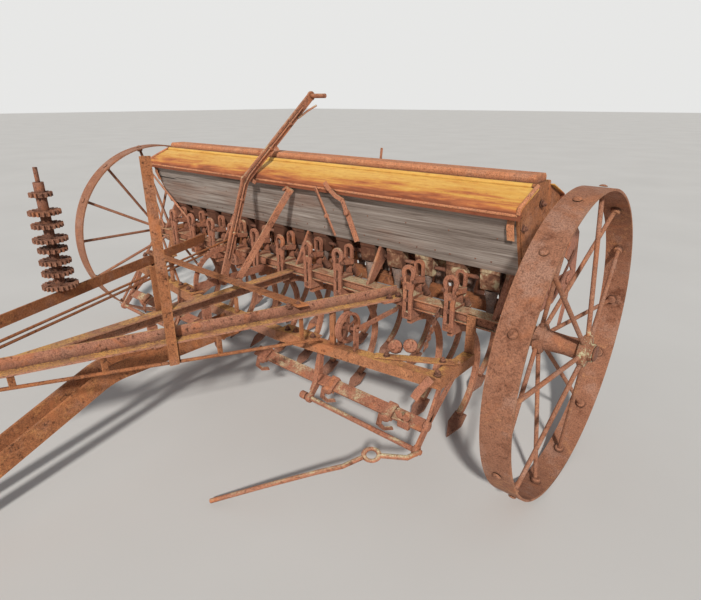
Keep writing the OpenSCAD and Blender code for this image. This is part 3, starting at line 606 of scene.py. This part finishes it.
rust_cast = rusted("Casting rust", (4, 4, 4), rust=(0.33, 0.14, 0.085), orange=(0.50, 0.23, 0.125),
                   lichen=0.4)
rust_gear = rusted("Change wheel rust", (9, 1, 4), brown=(0.10, 0.042, 0.028), rust=(0.27, 0.125, 0.08),
                   orange=(0.42, 0.21, 0.12))
rust_frame_top = rusted("Frame top rust with lichen", (5, 6, 2), rust=(0.36, 0.155, 0.075),
                        orange=(0.52, 0.24, 0.11), yellow=0.62)
rust_drive = rusted("Drive plate rust", (2, 8, 5), brown=(0.20, 0.07, 0.045), rust=(0.37, 0.165, 0.11),
                    orange=(0.50, 0.21, 0.11), mauve=0.5, pitting=0.5)
rust_points = rusted("Shovel rust", (7, 7, 2), rust=(0.25, 0.12, 0.08), orange=(0.38, 0.2, 0.12), mauve=0.6)
rust_sheet = rusted("Grey funnel sheet", (2, 9, 9), brown=(0.12, 0.06, 0.04), rust=(0.21, 0.16, 0.135),
                    orange=(0.36, 0.30, 0.26), mauve=0.3, bloom=0.15, pitting=0.5)
wood_grey = weathered_wood("Weathered boards")
lid_low, lid_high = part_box("front_lid")
yellow_sheet = painted_sheet("Worn yellow sheet", lid_low.z, lid_high.z)
cast_cream = cream_casting("Cream casting")

NODE_FINISH = {
    rust_wheel: ["wheel_near", "wheel_far"],
    rust_dark: ["axle", "gear_spindle", "feed_shafts", "tine_springs"],
    rust_plain: ["side_channels", "mid_cross_bar", "rear_cross_bar", "pole_far", "pole_head", "pole_brace",
                 "drawbar_flats", "upright_bar", "channel_post", "hopper_ends"],
    rust_cast: ["axle_brackets", "pole_cleats", "hitch_block", "drawbar_hangers", "hopper_stands",
                "tine_brackets", "lever_stand"],
    rust_bright: ["front_cross_bar", "lift_lever", "tines"],
    rust_frame_top: ["front_frame_near", "front_frame_far", "frame_straps"],
    rust_pole: ["pole_near"],
    rust_beam: ["pole_centre", "front_tie"],
    rust_ridge: ["ridge_cap"],
    rust_points: ["tine_points"],
    rust_gear: ["change_gears"],
    yellow_sheet: ["front_lid", "rear_lid"],
    wood_grey: ["hopper_front_board", "hopper_rear_board", "hopper_floor", "hopper_divider"],
    cast_cream: ["feed_cups"],
}
for material, names in NODE_FINISH.items():
    for name in names:
        nodes[name].data.materials.clear()
        nodes[name].data.materials.append(material)


# Small pieces that repeat

def hex_bolt():
    """A bolt's end: a washer, a hexagonal nut with a raised face, and the shank's end."""
    nut_r, nut_h, nut_at, chamfer, rise = 0.011, 0.009, (0, 0, 0.0065), 0.0035, 0.0012
    washer_r, washer_h, washer_at = 0.014, 0.003, (0, 0, 0.0005)
    shank_r, shank_h, shank_at = 0.0058, 0.008, (0, 0, 0.0135)
    bpy.ops.mesh.primitive_cylinder_add(vertices=6, radius=nut_r, depth=nut_h, location=nut_at)
    nut = bpy.context.object
    edit(nut)
    pick_faces(nut, looks_up)
    bpy.ops.mesh.inset(thickness=chamfer)
    bpy.ops.transform.translate(value=(0, 0, rise))
    bpy.ops.mesh.primitive_cylinder_add(vertices=16, radius=washer_r, depth=washer_h, location=washer_at)
    bpy.ops.mesh.primitive_cylinder_add(vertices=10, radius=shank_r, depth=shank_h, location=shank_at)
    return rounded(settle(nut), EDGE_WEAR / 2, 1)


def cup_head():
    """The low round head of a rivet or coach bolt."""
    radius, lowness = 0.012, 0.5
    bpy.ops.mesh.primitive_uv_sphere_add(segments=16, ring_count=8, radius=radius, location=(0, 0, 0))
    head = bpy.context.object
    edit(head, "VERT", "SELECT")
    bpy.ops.mesh.bisect(plane_co=(0, 0, 0), plane_no=(0, 0, -1), use_fill=True, clear_outer=True)
    bpy.ops.mesh.select_all(action="SELECT")
    bpy.ops.transform.resize(value=(1, 1, lowness))
    choose(head)
    bpy.ops.object.shade_smooth_by_angle(angle=SMOOTH_ROUND)
    return settle(head)


def coil_spring(radius, wire, length, turns, sides=10, steps=20):
    """A coil spring along Z from the origin, with closed ends."""
    bpy.ops.mesh.primitive_circle_add(vertices=sides, radius=wire, rotation=(math.pi / 2, 0, 0))
    spring = bpy.context.object
    edit(spring, "VERT", "SELECT")
    bpy.ops.transform.translate(value=(radius, 0, wire))
    deselect()
    settle(spring)
    coil = spring.modifiers.new("Coil", "SCREW")
    coil.axis = "Z"
    coil.angle = math.tau
    coil.iterations = turns
    coil.screw_offset = (length - 2 * wire) / turns
    coil.steps = coil.render_steps = steps
    bpy.ops.object.modifier_apply(modifier=coil.name)
    edit(spring, "EDGE", "SELECT")
    bpy.ops.mesh.fill_holes(sides=sides)
    face_outward()
    choose(spring)
    bpy.ops.object.shade_smooth_by_angle(angle=SMOOTH_ROUND)
    return spring


def spoke_collar():
    """The round collar that a spoke's end sits in, on the rim."""
    radius, depth, shoulder, rise = 0.019, 0.016, 0.004, 0.005
    bpy.ops.mesh.primitive_cylinder_add(vertices=20, radius=radius, depth=depth, location=(0, 0, depth / 2))
    collar = bpy.context.object
    edit(collar)
    pick_faces(collar, looks_up)
    bpy.ops.mesh.inset(thickness=shoulder)
    bpy.ops.transform.translate(value=(0, 0, rise))
    return rounded(settle(collar), EDGE_WEAR, 2)


bolt = hex_bolt()
rivet = cup_head()
collar = spoke_collar()
spring = coil_spring(SPRING_R, SPRING_WIRE, SPRING_L, SPRING_TURNS)


# Springs, yokes and trim on what the nodes hold

def coil_springs():
    """A coil spring along each tine's rod, in the place of the plain solid ones."""
    places = []
    for bar_y, row in ((FRONT_BAR_Y, FRONT_ROW), (REAR_BAR_Y, REAR_ROW)):
        for x in row:
            foot = Matrix.Translation((x, bar_y + BAR_HALF + CLAMP_T, BAR_TOP + ROD_Z))
            fall = Matrix.Rotation(-math.pi / 2 - ROD_FALL, 4, "X")
            places.append(foot @ fall @ Matrix.Translation((0, 0, SPRING_FROM)))
    springs = copies(spring, places, "coil_springs", rust_dark)
    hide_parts("tine_springs")


def wheel_trim(side, body, turn):
    """Rivets on the tread and collars inside the rim, where each spoke ends."""
    sunk, bite = 0.0005, 0.002
    clear = 0.96  # nearer to the tread's ends and the ground, a rivet would pass the machine's own bounds
    middle = Vector((side * WHEEL_X, AXLE_Y, AXLE_Z))
    heads, sockets = [], []
    for i in range(SPOKES):
        angle = turn + math.tau * i / SPOKES
        out = Vector((0, math.sin(angle), -math.cos(angle)))
        if abs(out.y) < clear and out.z > -clear:
            heads.append(toward(middle + out * (WHEEL_R - sunk), out, size=1.25 + 0.1 * WORN.random()))
        sockets.append(toward(middle + out * (WHEEL_R - RIM_T + bite), -out))
    copies(rivet, heads, f"tread_rivets_{body}", rust_wheel, body)
    copies(collar, sockets, f"spoke_collars_{body}", rust_wheel, body)


def tine_yokes():
    """Each tine's forged yoke: twin legs that meet in a ring, with two links back to the spring."""
    leg = [(0.016, BAR_LOW - 0.048), (0.014, BAR_TOP + 0.030), (0.020, BAR_TOP + 0.072)]
    ring_wide, ring_tall, ring_z = 0.026, 0.029, BAR_TOP + 0.120
    ring_from, ring_step, ring_places = 215, 25, 11
    low_pad = (BAR_LOW - 0.050, BAR_LOW - 0.012, 0.046, 0.020)
    high_pad = (BAR_TOP + 0.040, BAR_TOP + 0.078, 0.030, 0.014)
    bolt_heights = [(BAR_TOP - 0.006, 1.15), (BAR_LOW - 0.026, 1.25)]
    yokes, links, heads = [], [], []
    for bar_y, row in ((FRONT_BAR_Y, FRONT_ROW), (REAR_BAR_Y, REAR_ROW)):
        face = bar_y - BAR_HALF - CLAMP_T - 0.007
        link_end = bar_y + BAR_HALF + 0.016
        for x in row:
            route = [(x - aside, face, height) for aside, height in leg]
            for k in range(ring_places):
                turn = math.radians(ring_from - ring_step * k)
                route.append((x + ring_wide * math.cos(turn), face, ring_z + ring_tall * math.sin(turn)))
            route += [(x + aside, face, height) for aside, height in reversed(leg)]
            yokes.append(strip(route, 0.019, 0.016, AHEAD, 0.002))
            for low, high, wide, thick in (low_pad, high_pad):
                pad = [(x, face + 0.002, low), (x, face + 0.002, high)]
                yokes.append(strip(pad, wide, thick, AHEAD, 0.003))
            for side in BOTH_SIDES:
                beside = x + side * 0.022
                link = [(beside, face - 0.004, BAR_TOP + 0.088), (beside, link_end, BAR_TOP + 0.070)]
                links.append(strip(link, 0.026, 0.008, ACROSS))
                heads.append(toward((x + side * 0.026, face, BAR_TOP + 0.086), (side, 0, 0), WORN.random()))
            for height, size in bolt_heights:
                heads.append(toward((x, face + 0.006, height), AHEAD, WORN.random(), size))
    joined(yokes, "tine_yokes", rust_cast)
    joined(links, "tine_links", rust_cast)
    copies(bolt, heads, "tine_bolts", rust_dark)


def lift_chains():
    """Short lengths of rusty chain that hang from the front cross bar."""
    link_reach, wire, pitch, stretch = 0.0085, 0.003, 0.021, 1.75
    near_run = [(0.996, -0.148, 0.690), (0.932, -0.150, 0.467)]
    far_run = [(-0.31, -0.150, 0.690), (-0.33, -0.155, 0.52)]
    made = []
    for start, end in (path(near_run), path(far_run)):
        count = round((end - start).length / pitch)
        along = (end - start).normalized().to_track_quat("X", "Z").to_matrix().to_4x4()
        for k in range(count):
            link = turned(ring_profile(link_reach, wire, 8), (0, 0, 0), UP, 18)
            link.data.transform(Matrix.Scale(stretch, 4, ACROSS))
            middle = start + (end - start) * (k + 0.5) / count
            quarter = Matrix.Rotation(math.pi / 2 * (k % 2), 4, "X")
            link.data.transform(Matrix.Translation(middle) @ along @ quarter)
            made.append(link)
    joined(made, "lift_chains", rust_dark)


def pole_x(back):
    """How far out the near pole's middle lies, at a distance behind the axle."""
    return POLE_SPREAD + (back - POLE_FOOT) * POLE_SLOPE


def frame_bolts():
    """Nuts and bolt ends where the frame's pieces are held together."""
    cleat_bolts = [(pole_x(back) + 0.006, back, POLE_LOW + 0.007, 1.2) for back in (-0.150, -0.195)]
    brace_bolts = [(pole_x(back) - 0.002, back, 0.740, 1.0) for back in (-0.64, -0.60)]
    corners = [(0.395, -0.490), (0.440, -0.482), (0.540, -0.470), (0.905, -0.400), (1.110, -0.290),
               (1.150, -0.395)]
    frame_top_bolts = [(x, back, FRAME_TOP + 0.006, 1.1) for x, back in corners]
    heads = []
    for x, back, height, size in cleat_bolts + brace_bolts + frame_top_bolts:
        for side in BOTH_SIDES:
            heads.append(toward(at(side * x, back, height), UP, WORN.random(), size))
    for x in (1.262, 0.62, 0.20, -0.22, -0.64, -1.262):
        heads.append(toward((x, FRONT_BAR_Y - BAR_HALF, 0.672), AHEAD, WORN.random(), 1.2))
    copies(bolt, heads, "frame_bolts", rust_dark)


def board_nails():
    """Nails along the front board's foot, and a sparser row higher up."""
    low_count, low_reach, high_count, high_reach, high_z = 26, 1.24, 12, 1.2, 1.025

    def nail(x, height, size):
        face = BOARD_FOOT_Y - (height - BOARD_FOOT_Z) * BOARD_LEAN
        return toward(at(x, face + 0.001, height), (0, -1, 0.3), 0, size)

    nails = []
    for k in range(low_count):
        x = -low_reach + 2 * low_reach * (k + 0.5 * WORN.random()) / low_count
        nails.append(nail(x, 0.898 + 0.018 * WORN.random(), 0.34))
    for k in range(high_count):
        nails.append(nail(-high_reach + 2 * high_reach * k / (high_count - 1), high_z, 0.30))
    copies(rivet, nails, "board_nails", rust_dark)


def quadrant_teeth():
    """The ratchet teeth round the lift lever's quadrant."""
    root_r, tip_r, wide, thick = 0.170, 0.182, 0.011, 0.010
    first, pitch, count = 40, 9, 13
    hub = at(-0.179, *LEVER_PIVOT)
    made = []
    for k in range(count):
        turn = math.radians(first + pitch * k)
        out = Vector((0, -math.cos(turn), math.sin(turn)))
        made.append(strip([hub + out * root_r, hub + out * tip_r], wide, thick, ACROSS, 0.002))
    joined(made, "quadrant_teeth", rust_cast)


def seed_funnels():
    """The sheet funnels that hang under the feed cups, with the top of the tube below each."""
    cup_count, cup_pitch, cup_half = 15, 0.165, 0.036
    wall = [(0.030, 0.000), (0.031, -0.004), (0.017, -0.070), (0.016, -0.150),
            (0.013, -0.150), (0.014, -0.070), (0.027, -0.004)]
    cups_low, cups_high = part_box("feed_cups")
    made = []
    for k in range(cup_count):
        x = (k - cup_count // 2) * cup_pitch
        for back in (cups_low.y + cup_half, cups_high.y - cup_half):
            lean = Vector((0.03 * (WORN.random() - 0.5), 0.10 * (WORN.random() - 0.4), 1))
            made.append(turned(wall, (x, back, cups_low.z - 0.0015), lean, 22))
    joined(made, "seed_funnels", rust_sheet)


def channel_lips():
    """The lips along the front cross bar that make it a channel, open towards the hitch."""
    reach, wide, thick = 1.272, 0.010, 0.007
    y = FRONT_BAR_Y - BAR_HALF - wide / 2
    made = [strip([(-reach, y, height), (reach, y, height)], wide, thick)
            for height in (BAR_TOP - thick / 2, BAR_LOW + thick / 2)]
    joined(made, "channel_lips", rust_bright)


# Hopper

def hopper_trim():
    """Rolled ends on the front lid, the lip along its lower edge, and the strap ends under its corners."""
    roll = [(1.297, 0.004, 1.226), (1.298, -0.070, 1.196), (1.298, -0.148, 1.163), (1.298, -0.152, 1.140)]
    strap = [(1.262, -0.118, 1.146), (1.262, -0.128, 1.085), (1.262, -0.108, 1.030)]
    lip = [(-1.296, -0.1515, 1.1365), (1.296, -0.1515, 1.1365)]
    made = []
    for side in BOTH_SIDES:
        made.append(rod(path(roll, side), 0.009, ACROSS))
        made.append(strip(path(strap, side), 0.030, 0.005, (0, -1, 0.3)))
    made.append(rod(path(lip), 0.0065))
    joined(made, "hopper_trim", rust_ridge)


def end_ribs():
    """Two ribs down each cast end of the hopper, and the bolts in them."""
    rib_x, bolt_x = 1.2935, 1.2965
    ribs = []
    for side in BOTH_SIDES:
        for top, foot in ((-0.105, -0.020), (0.245, 0.160)):
            rib = [(rib_x, top, 1.120), (rib_x, foot, 0.885)]
            ribs.append(strip(path(rib, side), 0.026, 0.006, (side, 0, 0)))
    joined(ribs, "end_ribs", rust_plain)
    places = [(-0.090, 1.080), (-0.040, 0.940), (0.230, 1.080), (0.180, 0.940), (0.070, 1.150)]
    heads = [toward(at(side * bolt_x, *place), (side, 0, 0), WORN.random(), 1.1)
             for side in BOTH_SIDES for place in places]
    copies(bolt, heads, "end_bolts", rust_dark)


def hopper_stays():
    """The round stay rods from under the lid's far corner down to the frame."""
    inner = [(-1.288, -0.158, 1.135), (-1.262, -0.172, 1.090), (-0.900, -0.120, 0.770),
             (-0.872, -0.112, 0.702)]
    outer = [(-1.292, -0.156, 1.140), (-1.330, -0.130, 0.900), (-1.262, -0.125, 0.702)]
    made = [rod(path(inner), 0.007), rod(path(outer), 0.006)]
    joined(made, "hopper_stays", rust_bright)


def lid_handles():
    """The two flats that stand up behind the ridge, on the rear lid."""
    bent = [(-0.520, 0.262, 1.290), (-0.470, 0.262, 1.250), (-0.390, 0.255, 1.160)]
    straight = [(0.345, 0.252, 1.160), (0.352, 0.262, 1.300)]
    made = [strip(path(bent), 0.022, 0.006, (0.3, -1, 0.3))]
    made.append(strip(path(straight), 0.014, 0.005, (0, -1, 0.1)))
    joined(made, "lid_handles", rust_bright, "rear_lid")


def hopper_straps():
    """Flat hooks that lean on the front board, one of them joggled in two lengths, and their studs."""
    hook = [(0.262, -0.148, 1.118), (0.276, -0.156, 1.128), (0.290, -0.158, 1.105), (0.383, -0.140, 0.912)]
    joggled = [(0.352, -0.176, 1.172), (0.372, -0.178, 1.150), (0.410, -0.164, 1.112),
               (0.452, -0.164, 1.098), (0.474, -0.158, 1.040)]
    tail = [(0.464, -0.148, 1.048), (0.520, -0.136, 0.905)]
    catch = [(-0.205, -0.185, 1.165), (-0.190, -0.190, 1.140), (-0.160, -0.172, 1.120)]
    flats = [(hook, 0.024, 0.008), (joggled, 0.021, 0.008), (tail, 0.026, 0.008), (catch, 0.020, 0.007)]
    studs = [((0.470, -0.150, 1.040), 0.013, 0.016), ((0.336, -0.144, 1.005), 0.011, 0.014)]
    made = [strip(path(places), wide, thick, (0.2, -1, 0.1)) for places, wide, thick in flats]
    made += [knob(at(*place), (0.1, -1, 0.1), radius, length) for place, radius, length in studs]
    joined(made, "hopper_straps", rust_bright)


# Levers

def second_lever():
    """The shorter lever beside the lift lever, rusted fast, with a hook at its top."""
    blade = [(-0.060, *LEVER_PIVOT), (0.078, -0.170, 1.080), (0.088, -0.154, 1.104), (0.072, -0.150, 1.116),
             (0.042, -0.150, 1.100)]
    made = [
        strip(path(blade), 0.034, 0.012, (0.9, -0.4, 0)),
        rod([at(-0.148, *LEVER_PIVOT), at(-0.020, *LEVER_PIVOT)], 0.013),
        knob(at(-0.048, *LEVER_PIVOT), ACROSS, 0.030, 0.014),
    ]
    joined(made, "second_lever", rust_bright)


def lever_latch():
    """The latch rod that runs up the lift lever's side, with its guides, and the squeeze grip at its top."""
    x = -0.155
    run = [(-0.395, 0.745), (-0.252, 1.118), (-0.214, 1.166), (0.190, 1.494)]
    grip = [(x + 0.002, 0.150, 1.438), (x + 0.002, 0.222, 1.474), (x + 0.045, 0.256, 1.506)]
    guides = [(-0.345, 0.875), (-0.280, 1.045), (-0.060, 1.291), (0.090, 1.413)]
    made = [rod([at(x, *place) for place in run], 0.0045), strip(path(grip), 0.016, 0.006, (0, -0.6, 0.8))]
    made += [knob(at(x - 0.006, *place), ACROSS, 0.009, 0.014) for place in guides]
    joined(made, "lever_latch", rust_bright, "lift_lever")


# Drive, front frames and what hangs from them

def drive_side():
    """The pierced plate behind the near wheel, which carried the drive, with its spacers and its stay."""
    face, x = 1.306, 1.316
    edge = [
        (0.118, 0.690), (0.235, 0.849), (0.330, 0.945), (0.462, 1.025), (0.560, 0.950), (0.600, 0.740),
        (0.545, 0.690), (0.540, 0.600), (0.500, 0.480), (0.460, 0.486), (0.490, 0.610), (0.470, 0.672),
        (0.400, 0.690), (0.330, 0.655), (0.125, 0.655),
    ]
    kite = [(0.345, 0.888), (0.460, 0.832), (0.530, 0.766), (0.362, 0.776)]
    bosses = [(0.400, 0.925, 0.030), (0.490, 0.730, 0.024), (0.270, 0.745, 0.032)]
    made = [cut_plate(edge, face, 0.007, kite)]
    made += [knob(at(1.262, back, 0.675), ACROSS, 0.012, 0.058) for back in (0.160, 0.300)]
    made.append(strip([at(face, 0.180, 0.940), at(face, 0.360, 0.940)], 0.026, 0.007, ACROSS))
    for back, height, radius in bosses:
        made.append(knob(at(face + 0.004, back, height), ACROSS, radius, 0.010))
        made.append(knob(at(x, back, height), ACROSS, radius * 0.4, 0.010))
    made.append(strip([at(x, 0.330, 0.705), at(x, 0.520, 0.860)], 0.022, 0.006, ACROSS))
    joined(made, "drive_side", rust_drive)


def slung_rods():
    """The round rod under the near pole, with its tabs, and the twin rods beside the middle beam."""
    front, rear, height, fall, aside = -1.64, -0.52, 0.646, 0.0679, 0.012
    tabs = (-1.56, -1.30, -1.07, -0.92, -0.60)
    twin_gap = 0.022

    def place(back):
        return at(pole_x(back) + aside, back, height - (back - front) * fall)

    made = [rod([place(front), place(rear)], 0.007)]
    for back in tabs:
        low = place(back)
        made.append(strip([low, (low.x, low.y, POLE_LOW)], 0.022, 0.006, ACROSS))
    for rise in (0, twin_gap):
        made.append(rod([at(0.03, -1.73, 0.679 + rise), at(-0.56, -0.082, 0.706 + rise)], 0.006))
    joined(made, "slung_rods", rust_plain)


def chain_wheel():
    """The grooved chain wheel between two cheeks on the near front frame, with its stay to the cross bar."""
    x, back, height = 0.720, -0.435, 0.621
    bore, groove, flank, rim_half = 0.056, 0.063, 0.070, 0.014
    pin_r, hub_r, hub_half, spokes = 0.008, 0.018, 0.018, 5
    pin_half, cheek, thick = 0.058, 0.046, 0.008
    middle = at(x, back, height)
    rim = [(bore, -rim_half), (flank, -rim_half), (groove, 0.0), (flank, rim_half), (bore, rim_half)]
    hub = [(pin_r, -hub_half), (hub_r, -hub_half), (hub_r, hub_half), (pin_r, hub_half)]
    made = [turned(rim, middle, ACROSS, 56), turned(hub, middle, ACROSS)]
    for k in range(spokes):
        turn = math.tau * k / spokes + 0.3
        out = Vector((0, math.cos(turn), math.sin(turn)))
        spoke = [middle + out * (hub_r - 0.004), middle + out * (bore + 0.003)]
        made.append(strip(spoke, 0.012, thick, ACROSS))
    made.append(rod([at(x - pin_half, back, height), at(x + pin_half, back, height)], pin_r))
    for side in BOTH_SIDES:
        plate = [(x + side * cheek, back, FRAME_TOP - 0.002), (x + side * cheek, back, height + 0.022)]
        made.append(strip(path(plate), 0.030, thick, ACROSS))
    stay = [(x + cheek, back, height), (x + cheek, -0.145, height + 0.006), (x + cheek, -0.118, 0.652)]
    made.append(strip(path(stay), 0.024, thick, ACROSS))
    joined(made, "chain_wheel", rust_cast)


def lower_arms(side):
    """Under one front frame: two arms, a tilted flat bar with its clamps, and the round bar ahead of it."""
    outer_x, inner_x, arm_t = 1.162, 0.580, 0.011
    bar = (-0.470, 0.330)
    arms = [
        (outer_x, (-0.366, FRAME_LOW), ELBOW, 0.028), (outer_x, (-0.235, FRAME_LOW), ELBOW, 0.028),
        (outer_x, ELBOW, ARM_FOOT, 0.036),
        (inner_x, (-0.452, FRAME_LOW), (-0.476, 0.330), 0.032), (inner_x, ELBOW, ARM_FOOT, 0.032),
    ]
    brace = [(0.560, -0.430, 0.517), (0.572, -0.500, 0.318), (0.572, -0.520, 0.285)]
    hook = [(-0.028, -0.500, 0.318), (-0.030, -0.512, 0.275), (-0.010, -0.500, 0.255),
            (0.022, -0.482, 0.262)]
    made = [strip(path([(x, *start), (x, *end)], side), wide, arm_t, ACROSS) for x, start, end, wide in arms]
    made.append(strip(path(brace, side), 0.026, 0.007, (0, -1, 0.3)))
    for x in (inner_x, outer_x):
        made.append(knob(at(side * x - 0.009, *ELBOW), ACROSS, 0.022, 0.018))
        made.append(knob(at(side * x - 0.010, *ARM_FOOT), ACROSS, 0.022, 0.020))
    made.append(strip(path([(0.130, *bar), (1.160, *bar)], side), 0.056, 0.012, TILTED))
    for x in (0.205, 0.660, 0.985):
        made.append(strip(path([(x - 0.022, *bar), (x + 0.022, *bar)], side), 0.072, 0.034, TILTED, 0.003))
        made.append(knob(at(side * (x - 0.006), -0.497, 0.318), (0.25 * side, -0.85, -0.35), 0.023, 0.016))
        hung = [(x + aside, back, height) for aside, back, height in hook]
        made.append(strip(path(hung, side), 0.024, 0.006, AHEAD))
    made.append(rod(path([(0.545, *ARM_FOOT), (1.186, *ARM_FOOT)], side), 0.011))
    made.append(knob(at(side * 0.560, *ARM_FOOT), (-side, 0, 0), 0.018, 0.032))
    joined(made, f"lower_arms_{SIDE_NAMES[side]}", rust_cast)


def draw_rod():
    """The bent rod with a forged eye that hangs from the near arm's foot and lies down to the ground."""
    link = [(1.176, -0.545, 0.262), (1.168, -0.610, 0.272), (1.078, -0.660, 0.266)]
    tail = [(1.030, -0.692, 0.258), (0.960, -0.745, 0.205), (0.880, -0.806, 0.172), (0.720, -0.940, 0.103),
            (0.545, -1.085, 0.022)]
    middle = at(1.048, -0.676, 0.264)
    eye = turned(ring_profile(0.023, 0.008, 10), middle, (0.3, -0.7, 1), 32)
    longer = Matrix.Scale(1.3, 4, (0.85, 0.53, 0))
    eye.data.transform(Matrix.Translation(middle) @ longer @ Matrix.Translation(-middle))
    made = [rod(path(link), 0.010), rod(path(tail), 0.0095), eye]
    joined(made, "draw_rod", rust_bright)


def corner_plates(side):
    """The flat strut across the front frame's outer corner, and the gusset at its inner end."""
    level = FRAME_TOP + 0.003
    strut = [(0.862, -0.425, level), (1.150, -0.262, level)]
    gusset = [(0.352, -0.480, level), (0.560, -0.466, level)]
    made = [strip(path(strut, side), 0.046, 0.007), strip(path(gusset, side), 0.078, 0.007)]
    joined(made, f"corner_plates_{SIDE_NAMES[side]}", rust_frame_top)


def loose_castings():
    """The two round caps on the near front frame, and the forked ear and bent plate below it."""
    facing = (0.35, -0.75, 0.45)
    caps = [(0.905, -0.352, 0.548), (0.958, -0.318, 0.556)]
    ear_foot = at(1.060, -0.488, 0.318)
    ear_base = [(1.035, -0.488, 0.312), (1.092, -0.488, 0.312)]
    plate = [(1.140, -0.425, 0.522), (1.112, -0.470, 0.470), (1.100, -0.480, 0.440)]
    made = []
    for x, back, height in caps:
        made.append(knob(at(x, back + 0.018, height), facing, 0.030, 0.030))
        made.append(knob(at(x, back, height + 0.008), facing, 0.013, 0.020))
        stem = [(x, back + 0.03, FRAME_TOP - 0.004), (x, back + 0.03, height)]
        made.append(strip(path(stem), 0.034, 0.012, AHEAD))
    for turn in (-0.6, 0.5):
        out = Vector((math.sin(turn), 0, math.cos(turn)))
        ear = [ear_foot, ear_foot + out * 0.028, ear_foot + out * 0.056]
        made.append(strip(ear, 0.030, 0.014, AHEAD, 0.004))
    made.append(strip(path(ear_base), 0.040, 0.020, AHEAD, 0.004))
    made.append(strip(path(plate), 0.034, 0.006, (0.3, -0.8, 0.5)))
    joined(made, "loose_castings", rust_cast)


coil_springs()
wheel_trim(1, "wheel_near", NEAR_TURN)
wheel_trim(-1, "wheel_far", FAR_TURN)
tine_yokes()
lift_chains()
frame_bolts()
board_nails()
hopper_stays()
lid_handles()
quadrant_teeth()
seed_funnels()
channel_lips()
loose_castings()
hopper_trim()
end_ribs()
slung_rods()
chain_wheel()
for side in (1, -1):
    lower_arms(side)
    corner_plates(side)
draw_rod()
second_lever()
hopper_straps()
lever_latch()
drive_side()
drop(bolt, rivet, collar, spring)


# Floor, light and camera

FLOOR_SIZE = 160
FLOOR_GREYS = ((0.63, 0.62, 0.60), (0.67, 0.66, 0.64))
SUN_FROM = (0.60, -0.78, 0.66)
SUN_STRENGTH = 3.2
SUN_SOFT = math.radians(4)
SUN_TINT = (1.0, 0.965, 0.92)
FILL_TINT = (0.93, 0.96, 1.0, 1)
FILL_STRENGTH = 0.30
BACKDROP = (0.80, 0.80, 0.79, 1)
CAMERA_PLACE = (2.035, AXLE_Y - 1.941, 1.530)
CAMERA_DOWN = 0.3734
CAMERA_ROLL = 0.0017
CAMERA_ROUND = 0.7113
CAMERA_LENS = 26.14


def pale_floor():
    """A pale floor that runs out past the horizon."""
    bpy.ops.mesh.primitive_plane_add(size=FLOOR_SIZE, location=(0, 0, 0))
    floor = bpy.context.object
    floor.name = "floor"
    f = Finish("Pale floor")
    darker, lighter = FLOOR_GREYS
    colour = f.ramp(f.noise(0.8, 3, 0.5), (0.3, darker), (0.7, lighter))
    floor.data.materials.append(f.finish(colour, 0.95, gloss=0.1))


def studio_light():
    """A soft key from the machine's front right, a weak fill, and a pale surround behind it all."""
    key = bpy.data.lights.new("Key", "SUN")
    key.energy = SUN_STRENGTH
    key.angle = SUN_SOFT
    key.color = SUN_TINT
    lamp = bpy.data.objects.new("Key", key)
    lamp.rotation_euler = Vector(SUN_FROM).to_track_quat("Z", "Y").to_euler()
    bpy.context.scene.collection.objects.link(lamp)
    world = bpy.data.worlds.new("Surround")
    bpy.context.scene.world = world
    world.use_nodes = True
    tree = world.node_tree
    tree.nodes.clear()
    rays = add_node(tree, "ShaderNodeLightPath").outputs
    direct = {0: rays["Is Camera Ray"], 1: rays["Is Glossy Ray"]}
    seen = add_node(tree, "ShaderNodeMath", direct, operation="MAXIMUM").outputs[0]
    through = {0: seen, 1: rays["Is Transmission Ray"]}
    seen = add_node(tree, "ShaderNodeMath", through, operation="MAXIMUM").outputs[0]
    fill = add_node(tree, "ShaderNodeBackground", {"Color": FILL_TINT, "Strength": FILL_STRENGTH}).outputs[0]
    backdrop = add_node(tree, "ShaderNodeBackground", {"Color": BACKDROP, "Strength": 1.0}).outputs[0]
    either = add_node(tree, "ShaderNodeMixShader", {0: seen, 1: fill, 2: backdrop}).outputs[0]
    add_node(tree, "ShaderNodeOutputWorld", {"Surface": either})


def photo_camera():
    """The camera where the photographer stood: at the near front corner, at eye height, looking down."""
    lens = bpy.data.cameras.new("Camera")
    lens.sensor_width = 36
    lens.lens = CAMERA_LENS
    camera = bpy.data.objects.new("Camera", lens)
    camera.location = CAMERA_PLACE
    camera.rotation_euler = (math.pi / 2 - CAMERA_DOWN, CAMERA_ROLL, CAMERA_ROUND)
    bpy.context.scene.collection.objects.link(camera)
    bpy.context.scene.camera = camera


pale_floor()
studio_light()
photo_camera()
bpy.context.scene.view_settings.view_transform = "Standard"
